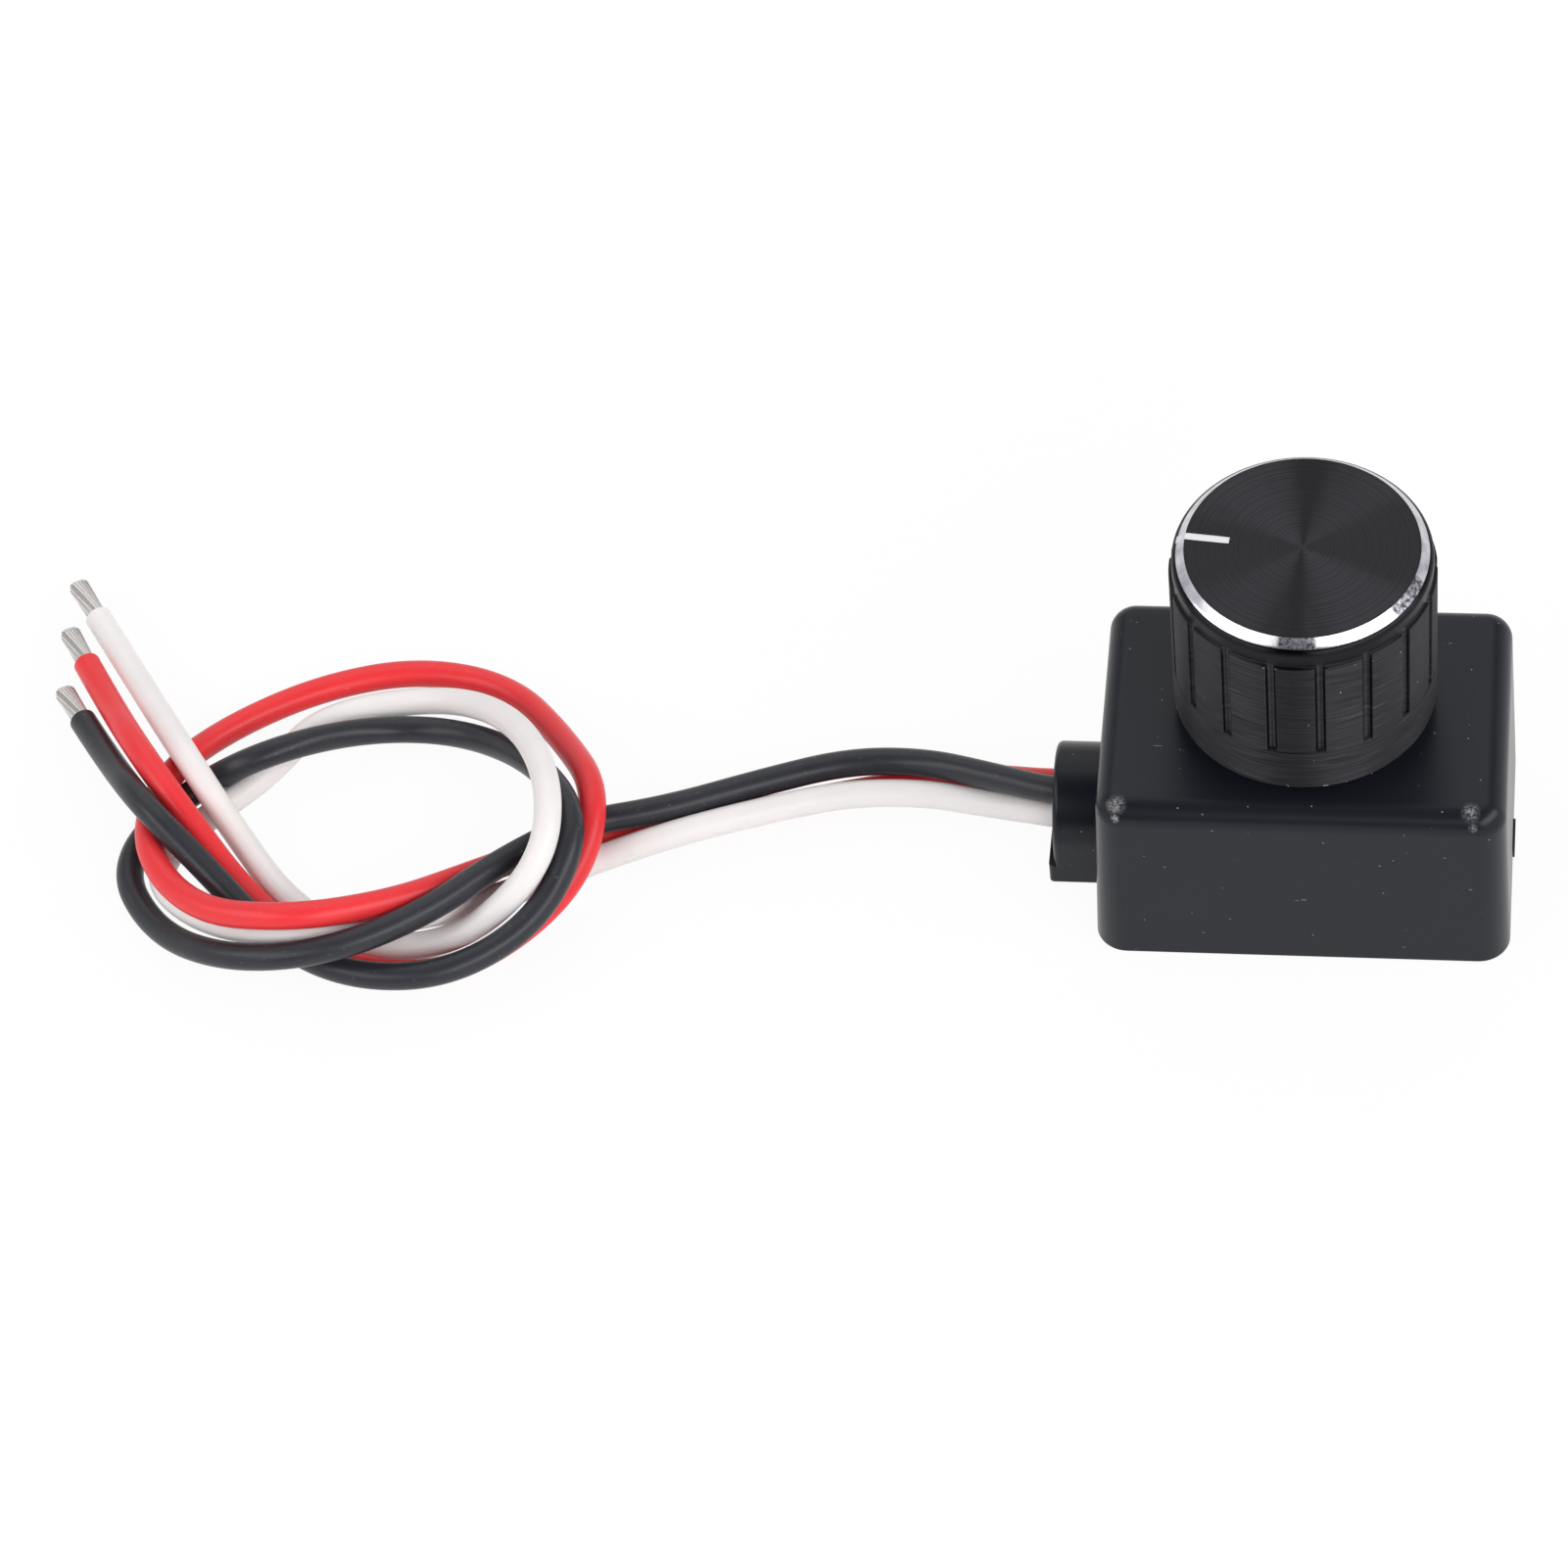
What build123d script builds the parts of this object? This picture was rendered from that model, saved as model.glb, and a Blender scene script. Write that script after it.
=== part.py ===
"""Rotary LED dimmer: a moulded box, a turned knob on a potentiometer, a circuit board and three leads.

Millimetres, +Z up. The origin is the middle of the box's underside, -Y is the front, the leads leave on -X.
"""
import os
from math import pi, radians, tan

from build123d import *

os.makedirs("parts", exist_ok=True)

# Moulded box
box_width = 33.6
box_depth = 23.6
box_height = 17.6
box_draft = 1.7
corner_radius = 2.6
edge_radius = 1.9
wall = 1.6
roof = 1.8
fit_gap = 0.1

# Bottom cover, let into the lower edge of the box
rim = 0.8
cover_thickness = 2.0
rail_length = 20.0
rail_thickness = 1.0
rail_height = 2.6
rail_gap = 0.3
tab_width = 3.0
tab_height = 1.3
tab_proud = 0.15
tab_y = 0.6

# Arched wire outlet on the left wall
outlet_radius = 4.9
outlet_axis_z = 4.8
outlet_length = 3.8
outlet_edge = 0.5
tunnel_radius = 3.3
tongue_lip = 0.45
tongue_corner = 0.4

# Knob
knob_y = 0.8
knob_gap = 1.7
knob_radius = 10.5
knob_height = 17.0
land_height = 0.25
shoulder_inset = 0.35
shoulder_height = 1.75
chamfer_height = 0.65
shoulder_round = 0.6
foot_chamfer = 0.2
band_height = 4.4
seam_width = 0.16
seam_depth = 0.12
groove_count = 17
groove_width = 0.8
groove_depth = 0.4
groove_overrun = 0.3
groove_angle = -80.2
pointer_length = 3.8
pointer_width = 0.6
pointer_depth = 0.15
pointer_angle = 174.0
cap_wall = 1.3
cap_top = 1.4
core_gap = 0.05
core_recess = 2.6
core_ring = 1.2
core_web = 1.5
core_rib = 1.2
core_rib_count = 6
hub_radius = 5.2

# Potentiometer
pot_width = 9.8
pot_depth = 11.0
pot_height = 6.6
plate_thickness = 1.2
bushing_radius = 3.5
bushing_length = 5.0
shaft_radius = 3.0
shaft_length = 15.0
shaft_flat = 1.5
flat_length = 9.0
running_gap = 0.05
turning_gap = 0.3
flange_radius = 3.6
flange_height = 1.0
spigot_radius = 2.0
rotor_radius = 4.2
rotor_height = 2.1
wiper_thickness = 0.15
wiper_inner = 2.4
wiper_outer = 3.9
floor_thickness = 1.2
track_thickness = 0.4
track_inner = 1.4
washer_radius = 5.9
washer_thickness = 0.5
nut_flats = 10.0
nut_height = 2.0
nut_chamfer = 0.15
terminal_pitch = 2.5
terminal_width = 0.9
terminal_thickness = 0.5
terminal_reach = 1.5
terminal_rise = 0.8
lug_width = 2.0
lug_thickness = 0.8
pin_stickout = 1.2

# Circuit board and what is on it
board_thickness = 1.6
board_gap = 0.5
board_corner = 1.0
edge_margin = 1.0
pin_clearance = 0.15
cap_radius = 2.5
cap_length = 9.0
cap_bead = 0.25
lead_radius = 0.3
lead_pitch = 2.0
lead_reach = 1.0
fet_y = 1.5
fet_width = 5.0
fet_depth = 5.8
fet_height = 1.1
fet_tab = 0.8
fet_tab_height = 0.3
fet_pitch = 1.27
fet_leg = 0.5
fet_reach = 0.7
chip_length = 4.9
chip_width = 3.9
chip_height = 1.5
chip_leg = 0.42
chip_pitch = 1.27
chip_reach = 1.05
leg_thickness = 0.25
diode_y = -4.6
diode_length = 4.3
diode_width = 2.6
diode_height = 2.1
diode_leg = 1.4
diode_reach = 0.4
chip_resistor_size = (3.2, 1.6, 0.6)
chip_resistor_pitch = 2.6
chip_resistor_y = 2.6
pad_radius = 1.1
pad_height = 0.8
pad_taper = 20
wire_pad_radius = 0.7
pad_x = -8.5
pad_pitch = 2.7
lead_drop = 1.2

# Leads: silicone insulation over tinned strands
wire_radius = 1.15
corner_share = 0.45
core_wire_radius = 0.55
core_wire_length = 1.5
tip_radius = 0.8
tip_length = 4.2
tip_round = 0.3

# Places that several pieces share
lean = tan(radians(box_draft))
roof_z = box_height - roof
knob_z = box_height + knob_gap
outlet_end = -(box_width / 2 + outlet_length)
plate_z = roof_z - plate_thickness
board_top = roof_z - pot_height
board_bottom = board_top - board_thickness
pin_end = board_bottom - pin_stickout
track_top = board_top + floor_thickness + track_thickness
flange_z = plate_z - turning_gap - flange_height
rotor_z = flange_z - rotor_height
shoulder_radius = knob_radius - land_height
chamfer_radius = shoulder_radius - shoulder_inset
top_radius = chamfer_radius - chamfer_height
shoulder_top = knob_height - chamfer_height
neck_top = shoulder_top - shoulder_round
groove_top = shoulder_top - shoulder_height
board_width = box_width - 2 * (wall + board_top * lean + board_gap)
board_depth = box_depth - 2 * (wall + board_top * lean + board_gap)
fet_x = edge_margin + fet_width / 2 - board_width / 2
cap_x = board_width / 2 - edge_margin - cap_radius
terminal_y = knob_y - pot_depth / 2 - terminal_reach
lug_x = pot_width / 2 + lug_thickness / 2
knob_axis = Axis((0, knob_y, 0), (0, 0, 1))
knob_section = Plane(origin=(0, knob_y, knob_z), x_dir=(1, 0, 0), z_dir=(0, -1, 0))
lead_z = board_bottom - lead_drop

# Each lead's route, from its pad on the board out through the outlet, round the loose knot to its bare end
black_route = [
    (pad_x, 0.0, lead_z), (-12.5, -0.3, lead_z),
    (-16.8, -0.4, 6.3), (-21.3, -0.1, 6.2), (-26.3, 2.2, 5.0),
    (-32.0, 4.5, 3.8), (-38.5, 4.6, 3.4), (-45.5, 2.1, 3.4), (-53.0, -1.2, 3.7), (-60.6, -3.0, 3.6),
    (-66.2, -8.7, 5.3), (-71.1, -15.0, 6.6), (-78.6, -19.3, 6.6), (-87.3, -18.9, 4.6), (-94.9, -13.7, 1.0),
    (-99.1, -7.0, 1.5), (-94.6, 1.2, 1.0), (-86.8, 3.4, 5.0), (-79.6, 8.5, 1.4), (-71.2, 8.2, 1.5),
    (-63.1, 0.6, 6.5), (-59.2, -7.0, 8.1), (-61.8, -13.4, 4.3), (-68.6, -19.2, 3.6), (-77.0, -19.3, 3.3),
    (-83.9, -15.0, 3.1), (-90.8, -9.4, 5.0), (-96.3, -5.3, 7.6), (-101.6, 3.1, 3.3), (-104.6, 7.7, 2.4),
]
red_route = [
    (pad_x, pad_pitch, lead_z), (-12.5, 2.1, lead_z - 0.5),
    (-16.8, 1.9, 5.0), (-21.3, 2.0, 4.5), (-26.4, 3.9, 2.6),
    (-32.0, 4.5, 1.3), (-38.5, 2.9, 1.2), (-45.6, 0.8, 1.2), (-53.1, -1.2, 1.2), (-61.5, -2.8, 1.2),
    (-68.5, -8.6, 3.6), (-74.2, -14.2, 6.7), (-82.0, -17.6, 8.7), (-90.8, -15.0, 6.0), (-96.6, -7.4, 4.6),
    (-96.1, 1.1, 3.5), (-91.8, 8.5, 1.2), (-84.4, 13.1, 1.2), (-76.3, 15.2, 1.2), (-68.4, 13.5, 1.2),
    (-62.8, 6.3, 3.5), (-58.3, -2.2, 7.1), (-59.2, -8.8, 3.8), (-64.9, -15.6, 1.1), (-72.5, -18.2, 1.2),
    (-79.9, -15.3, 2.3), (-87.5, -9.5, 1.7), (-93.2, -4.6, 5.6), (-98.0, 1.3, 6.8), (-102.7, 9.6, 2.9),
    (-105.4, 14.1, 2.3),
]
white_route = [
    (pad_x, -pad_pitch, lead_z), (-12.5, -2.5, lead_z - 0.9),
    (-16.8, -1.7, 4.2), (-21.3, -0.3, 3.5), (-26.0, 1.0, 2.7),
    (-32.0, 1.9, 2.9), (-38.5, 1.3, 3.2), (-45.2, -0.7, 3.1), (-52.3, -3.4, 3.0), (-59.7, -6.0, 1.5),
    (-67.2, -9.5, 1.2), (-74.0, -13.8, 3.9), (-81.7, -17.4, 6.2), (-90.0, -14.7, 3.1), (-95.9, -9.0, 2.3),
    (-93.5, -2.2, 1.2), (-87.7, 2.9, 1.2), (-84.0, 9.9, 1.2), (-73.8, 11.8, 1.9), (-66.2, 5.5, 6.9),
    (-61.6, -4.1, 10.5), (-61.9, -10.9, 7.8), (-68.9, -14.5, 1.5), (-76.4, -14.8, 1.2), (-83.6, -9.8, 1.2),
    (-89.3, -3.3, 2.2), (-93.0, -0.2, 6.1), (-97.0, 6.2, 4.6), (-102.2, 14.7, 2.3), (-105.4, 19.5, 2.1),
]


def level(z):
    """Horizontal plane at height z, centred on the knob's axis."""
    return Plane(origin=(0, knob_y, z))


def arch(radius):
    """Inverted U standing on the base plane: straight sides under a half circle."""
    with BuildSketch() as outline:
        with BuildLine():
            CenterArc((0, outlet_axis_z), radius, 0, 180)
            Polyline((-radius, outlet_axis_z), (-radius, 0), (radius, 0), (radius, outlet_axis_z))
        make_face()
    return outline.sketch


# Housing shell: drafted walls, rounded roof edges, open below, with the arched outlet on its left wall
with BuildPart() as housing_shell:
    with BuildSketch():
        RectangleRounded(box_width, box_depth, corner_radius)
    extrude(amount=box_height, taper=box_draft)
    fillet(housing_shell.faces().sort_by(Axis.Z)[-1].edges(), edge_radius)
    with BuildSketch(Plane.YZ.offset(outlet_end)):
        add(arch(outlet_radius))
    extrude(amount=outlet_length + wall / 2)
    fillet(housing_shell.faces().sort_by(Axis.X)[0].edges().sort_by(Axis.Z)[1:], outlet_edge)
    with BuildSketch():
        RectangleRounded(box_width - 2 * wall, box_depth - 2 * wall, corner_radius - wall)
    extrude(amount=roof_z, taper=box_draft, mode=Mode.SUBTRACT)
    with BuildSketch():
        RectangleRounded(box_width - 2 * rim, box_depth - 2 * rim, corner_radius - rim)
        with Locations((outlet_end, 0)):
            Rectangle(box_width, 2 * outlet_radius, align=(Align.MIN, Align.CENTER))
    extrude(amount=cover_thickness, mode=Mode.SUBTRACT)
    with BuildSketch():
        with Locations((0, tab_y)):
            Rectangle(box_width, tab_width + 2 * fit_gap, align=(Align.MIN, Align.CENTER))
    extrude(amount=tab_height + fit_gap, mode=Mode.SUBTRACT)
    with BuildSketch(Plane.YZ.offset(outlet_end)):
        add(arch(tunnel_radius))
    extrude(amount=outlet_length + 2 * wall, mode=Mode.SUBTRACT)
    with Locations((0, knob_y, box_height)):
        Hole(bushing_radius + fit_gap, depth=2 * roof)
housing_shell.part.label = "housing_shell"
export_step(housing_shell.part, "parts/housing_shell.step")

# Bottom cover: plate in the rebate, tongue that closes the outlet, tab in the right wall, two rails
rail_y = box_depth / 2 - wall - (cover_thickness + rail_height) * lean - rail_gap - rail_thickness / 2
with BuildPart() as bottom_cover:
    with BuildSketch():
        RectangleRounded(
            box_width - 2 * (rim + fit_gap), box_depth - 2 * (rim + fit_gap), corner_radius - rim - fit_gap
        )
        with Locations((outlet_end - tongue_lip, 0)):
            Rectangle(box_width / 2, 2 * (outlet_radius - fit_gap), align=(Align.MIN, Align.CENTER))
    extrude(amount=cover_thickness)
    fillet(bottom_cover.edges().filter_by(Axis.Z).group_by(Axis.X)[0], tongue_corner)
    with BuildSketch():
        with Locations((0, tab_y)):
            Rectangle(box_width / 2 + tab_proud, tab_width, align=(Align.MIN, Align.CENTER))
    extrude(amount=tab_height)
    with BuildSketch(Plane.XY.offset(cover_thickness)):
        with GridLocations(0, 2 * rail_y, 1, 2):
            Rectangle(rail_length, rail_thickness)
    extrude(amount=rail_height)
bottom_cover.part.label = "bottom_cover"
export_step(bottom_cover.part, "parts/bottom_cover.step")

# Knob cap: one turned section, then the round-bottomed grip grooves and the pointer line are milled
with BuildPart() as knob_cap:
    with BuildSketch(knob_section):
        with BuildLine():
            Polyline((0, knob_height), (top_radius, knob_height), (chamfer_radius, shoulder_top))
            RadiusArc((chamfer_radius, shoulder_top), (shoulder_radius, neck_top), shoulder_round)
            Polyline(
                (shoulder_radius, neck_top),
                (shoulder_radius, groove_top),
                (knob_radius, groove_top),
                (knob_radius, band_height + seam_width / 2),
                (knob_radius - seam_depth, band_height),
                (knob_radius, band_height - seam_width / 2),
                (knob_radius, foot_chamfer),
                (knob_radius - foot_chamfer, 0),
                (knob_radius - cap_wall, 0),
                (knob_radius - cap_wall, knob_height - cap_top),
                (0, knob_height - cap_top),
                (0, knob_height),
            )
        make_face()
    revolve(axis=knob_axis)
    with BuildSketch(level(knob_z + band_height)):
        with PolarLocations(knob_radius, groove_count, start_angle=groove_angle):
            Ellipse(groove_depth, groove_width / 2)
    extrude(amount=groove_top - band_height + groove_overrun, mode=Mode.SUBTRACT)
    with BuildSketch(level(knob_z + knob_height)):
        with PolarLocations(chamfer_radius - pointer_length, 1, start_angle=pointer_angle):
            Rectangle(2 * pointer_length, pointer_width, align=(Align.MIN, Align.CENTER))
    extrude(amount=-pointer_depth, mode=Mode.SUBTRACT)
knob_cap.part.label = "knob_cap"
export_step(knob_cap.part, "parts/knob_cap.step")

# Knob core: ring, hub and ribs under a web that seats against the cap, with a D bore for the shaft
core_top = knob_z + knob_height - cap_top
core_bottom = knob_z + core_recess
core_radius = knob_radius - cap_wall - core_gap
shaft_top = roof_z + shaft_length
with BuildPart() as knob_core:
    with BuildSketch(level(core_bottom)):
        Circle(core_radius)
        Circle(core_radius - core_ring, mode=Mode.SUBTRACT)
        with PolarLocations(0, core_rib_count):
            Rectangle(core_radius - core_ring / 2, core_rib, align=(Align.MIN, Align.CENTER))
        Circle(hub_radius)
    extrude(amount=core_top - core_web - core_bottom)
    with BuildSketch(level(core_top - core_web)):
        Circle(core_radius)
    extrude(amount=core_web)
    with BuildSketch(level(core_bottom)):
        Circle(shaft_radius + running_gap)
    extrude(amount=shaft_top - flat_length - core_bottom + running_gap, mode=Mode.SUBTRACT)
    with BuildSketch(level(core_bottom)):
        Circle(shaft_radius + running_gap)
        with Locations((shaft_flat + running_gap, 0)):
            Rectangle(shaft_radius, 3 * shaft_radius, align=(Align.MIN, Align.CENTER), mode=Mode.SUBTRACT)
    extrude(amount=shaft_top - core_bottom + running_gap, mode=Mode.SUBTRACT)
knob_core.part.label = "knob_core"
export_step(knob_core.part, "parts/knob_core.step")

# Shaft: spigot in the rotor, flange under the plate, round in the bushing, D flat in the knob
with BuildPart() as pot_shaft:
    with BuildSketch(level(rotor_z)):
        Circle(spigot_radius)
    extrude(amount=rotor_height)
    with BuildSketch(level(flange_z)):
        Circle(flange_radius)
    extrude(amount=flange_height)
    with BuildSketch(level(flange_z)):
        Circle(shaft_radius)
    extrude(amount=shaft_top - flange_z)
    with BuildSketch(level(shaft_top)):
        with Locations((shaft_flat, 0)):
            Rectangle(shaft_radius, 3 * shaft_radius, align=(Align.MIN, Align.CENTER))
    extrude(amount=-flat_length, mode=Mode.SUBTRACT)
pot_shaft.part.label = "pot_shaft"
export_step(pot_shaft.part, "parts/pot_shaft.step")

# Rotor disc on the spigot
with BuildPart() as pot_rotor:
    with BuildSketch(level(rotor_z)):
        Circle(rotor_radius)
        Circle(spigot_radius + running_gap, mode=Mode.SUBTRACT)
    extrude(amount=rotor_height)
pot_rotor.part.label = "pot_rotor"
export_step(pot_rotor.part, "parts/pot_rotor.step")

# Wiper: spring ring on the rotor's underside, with two contact fingers cut from it
with BuildPart() as pot_wiper:
    with BuildSketch(level(rotor_z)):
        Circle(wiper_outer)
        Circle(wiper_inner, mode=Mode.SUBTRACT)
        with Locations((0, -wiper_outer)):
            Rectangle(wiper_inner, wiper_outer - wiper_inner, mode=Mode.SUBTRACT)
    extrude(amount=-wiper_thickness)
pot_wiper.part.label = "pot_wiper"
export_step(pot_wiper.part, "parts/pot_wiper.step")

# Bushing plate: die-cast plate under the roof with the bushing that stands through it
with BuildPart() as pot_bushing:
    with BuildSketch(level(plate_z)):
        Rectangle(pot_width, pot_depth)
    extrude(amount=plate_thickness)
    with BuildSketch(level(plate_z)):
        Circle(bushing_radius)
    extrude(amount=plate_thickness + bushing_length)
    with BuildSketch(level(plate_z)):
        Circle(shaft_radius + running_gap)
    extrude(amount=plate_thickness + bushing_length, mode=Mode.SUBTRACT)
pot_bushing.part.label = "pot_bushing"
export_step(pot_bushing.part, "parts/pot_bushing.step")

# Base: moulded box with the round chamber that the rotor turns in
with BuildPart() as pot_base:
    with BuildSketch(level(board_top)):
        Rectangle(pot_width, pot_depth)
    extrude(amount=plate_z - board_top)
    with BuildSketch(level(board_top + floor_thickness)):
        Circle(rotor_radius + turning_gap)
    extrude(amount=plate_z - board_top, mode=Mode.SUBTRACT)
pot_base.part.label = "pot_base"
export_step(pot_base.part, "parts/pot_base.step")

# Track: carbon wafer on the chamber's floor
with BuildPart() as pot_track:
    with BuildSketch(level(track_top)):
        Circle(rotor_radius)
        Circle(track_inner, mode=Mode.SUBTRACT)
    extrude(amount=-track_thickness)
pot_track.part.label = "pot_track"
export_step(pot_track.part, "parts/pot_track.step")

# Terminals: three bent strips from the base's front face down through the board
with BuildPart() as pot_terminals:
    with BuildSketch(Plane.XY.offset(board_top + terminal_rise)):
        with Locations((0, terminal_y)):
            with GridLocations(terminal_pitch, 0, 3, 1):
                Rectangle(terminal_width, terminal_reach, align=(Align.CENTER, Align.MIN))
    extrude(amount=terminal_thickness)
    with BuildSketch(Plane.XY.offset(board_top + terminal_rise)):
        with Locations((0, terminal_y)):
            with GridLocations(terminal_pitch, 0, 3, 1):
                Rectangle(terminal_width, terminal_thickness, align=(Align.CENTER, Align.MIN))
    extrude(amount=pin_end - board_top - terminal_rise)
pot_terminals.part.label = "pot_terminals"
export_step(pot_terminals.part, "parts/pot_terminals.step")

# Lugs: two legs from the plate's edges down through the board
with BuildPart() as pot_lugs:
    with BuildSketch(level(pin_end)):
        with GridLocations(2 * lug_x, 0, 2, 1):
            Rectangle(lug_thickness, lug_width)
    extrude(amount=roof_z - pin_end)
pot_lugs.part.label = "pot_lugs"
export_step(pot_lugs.part, "parts/pot_lugs.step")

# Washer and nut that clamp the bushing to the roof
with BuildPart() as pot_washer:
    with BuildSketch(level(box_height)):
        Circle(washer_radius)
        Circle(bushing_radius + fit_gap, mode=Mode.SUBTRACT)
    extrude(amount=washer_thickness)
pot_washer.part.label = "pot_washer"
export_step(pot_washer.part, "parts/pot_washer.step")

with BuildPart() as pot_nut:
    with BuildSketch(level(box_height + washer_thickness)):
        RegularPolygon(nut_flats / 2, 6, major_radius=False)
        Circle(bushing_radius + running_gap, mode=Mode.SUBTRACT)
    extrude(amount=nut_height)
    chamfer(pot_nut.edges().filter_by(GeomType.CIRCLE).sort_by(Axis.Z)[-1], nut_chamfer)
pot_nut.part.label = "pot_nut"
export_step(pot_nut.part, "parts/pot_nut.step")

# Circuit board, cut to the cavity, with slots for the potentiometer's legs
with BuildPart() as circuit_board:
    with BuildSketch(Plane.XY.offset(board_bottom)):
        RectangleRounded(board_width, board_depth, board_corner)
        with Locations((0, terminal_y + terminal_thickness / 2)):
            with GridLocations(terminal_pitch, 0, 3, 1):
                Rectangle(
                    terminal_width + 2 * pin_clearance,
                    terminal_thickness + 2 * pin_clearance,
                    mode=Mode.SUBTRACT,
                )
        with Locations((0, knob_y)):
            with GridLocations(2 * lug_x, 0, 2, 1):
                Rectangle(
                    lug_thickness + 2 * pin_clearance, lug_width + 2 * pin_clearance, mode=Mode.SUBTRACT
                )
    extrude(amount=board_thickness)
circuit_board.part.label = "circuit_board"
export_step(circuit_board.part, "parts/circuit_board.step")

# Electrolytic capacitor lying beside the potentiometer, its two leads bent down to the board
cap_z = board_top + cap_radius
with BuildPart() as capacitor:
    with BuildSketch(Plane(origin=(cap_x, -cap_length / 2, cap_z), z_dir=(0, 1, 0))):
        Circle(cap_radius)
    extrude(amount=cap_length)
    fillet(capacitor.edges().filter_by(GeomType.CIRCLE), cap_bead)
    with BuildSketch(Plane(origin=(cap_x, cap_length / 2, cap_z), x_dir=(1, 0, 0), z_dir=(0, 1, 0))):
        with GridLocations(lead_pitch, 0, 2, 1):
            Circle(lead_radius)
    extrude(amount=lead_reach + lead_radius)
    with BuildSketch(Plane(origin=(cap_x, cap_length / 2 + lead_reach, board_top))):
        with GridLocations(lead_pitch, 0, 2, 1):
            Circle(lead_radius)
    extrude(amount=cap_z - board_top)
capacitor.part.label = "capacitor"
export_step(capacitor.part, "parts/capacitor.step")

# Power transistor: moulded body on its heat tab, with four flat legs
with BuildPart() as mosfet:
    with BuildSketch(Plane(origin=(fet_x, fet_y, board_top))):
        Rectangle(fet_width, fet_depth)
    extrude(amount=fet_height, taper=box_draft)
    with BuildSketch(Plane(origin=(fet_x, fet_y, board_top))):
        Rectangle(fet_width - fet_tab, fet_depth / 2 + fet_tab, align=(Align.CENTER, Align.MIN))
    extrude(amount=fet_tab_height)
    with BuildSketch(Plane(origin=(fet_x, fet_y, board_top))):
        with GridLocations(fet_pitch, 0, 4, 1):
            Rectangle(fet_leg, fet_depth / 2 + fet_reach, align=(Align.CENTER, Align.MAX))
    extrude(amount=leg_thickness)
mosfet.part.label = "mosfet"
export_step(mosfet.part, "parts/mosfet.step")

# Control chip under the board, eight flat legs
with BuildPart() as control_chip:
    with BuildSketch(level(board_bottom)):
        Rectangle(chip_length, chip_width)
    extrude(amount=-chip_height)
    with BuildSketch(level(board_bottom)):
        with GridLocations(chip_pitch, 0, 4, 1):
            Rectangle(chip_leg, chip_width + 2 * chip_reach)
    extrude(amount=-leg_thickness)
control_chip.part.label = "control_chip"
export_step(control_chip.part, "parts/control_chip.step")

# Diode and chip resistors under the board
with BuildPart() as diode:
    with BuildSketch(Plane(origin=(cap_x, diode_y, board_bottom))):
        Rectangle(diode_length, diode_width)
    extrude(amount=-diode_height, taper=box_draft)
    with BuildSketch(Plane(origin=(cap_x, diode_y, board_bottom))):
        Rectangle(diode_length + 2 * diode_reach, diode_leg)
    extrude(amount=-leg_thickness)
diode.part.label = "diode"
export_step(diode.part, "parts/diode.step")

resistor_length, resistor_width, resistor_height = chip_resistor_size
with BuildPart() as chip_resistors:
    with BuildSketch(Plane(origin=(cap_x, chip_resistor_y, board_bottom))):
        with GridLocations(0, chip_resistor_pitch, 1, 3):
            Rectangle(resistor_length, resistor_width)
    extrude(amount=-resistor_height)
chip_resistors.part.label = "chip_resistors"
export_step(chip_resistors.part, "parts/chip_resistors.step")


def corner_radii(route):
    """Arc at each corner: a set share of the shorter run, over the tangent of half the turn."""
    points = [Vector(*point) for point in route]
    radii = []
    for before, here, after in zip(points, points[1:], points[2:]):
        first = here - before
        second = after - here
        half_turn = radians(first.get_angle(second)) / 2
        radii.append(corner_share * min(first.length, second.length) / tan(half_turn))
    return radii


def make_lead(route, colour):
    """One lead: insulated tube along its route, bare tinned tip at the far end, bare core at the board."""
    radii = corner_radii(route)
    with BuildPart() as tube:
        with BuildLine():
            path = FilletPolyline(*route, radius=radii)
        with BuildSketch(Plane(origin=path @ 0, z_dir=path % 0)):
            Circle(wire_radius)
        sweep(path=path)
    with BuildPart() as tip:
        with BuildSketch(Plane(origin=path @ 1, z_dir=path % 1)):
            Circle(tip_radius)
        extrude(amount=tip_length)
        fillet(tip.faces().sort_by(Axis.X)[0].edges(), tip_round)
    with BuildPart() as core:
        with BuildSketch(Plane(origin=path @ 0, z_dir=(path % 0) * -1)):
            Circle(core_wire_radius)
        extrude(amount=core_wire_length)
    section = pi * wire_radius**2
    print(colour, "length", round(path.length, 1), "tube", round(tube.part.volume, 2), end=" ")
    print("section x length", round(section * path.length, 2), "radii", [round(r, 1) for r in radii])
    for piece, name in ((tube, "wire"), (tip, "tip"), (core, "core")):
        piece.part.label = f"{colour}_{name}"
        export_step(piece.part, f"parts/{colour}_{name}.step")
    return core


leads = [make_lead(black_route, "black"), make_lead(red_route, "red"), make_lead(white_route, "white")]

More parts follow.
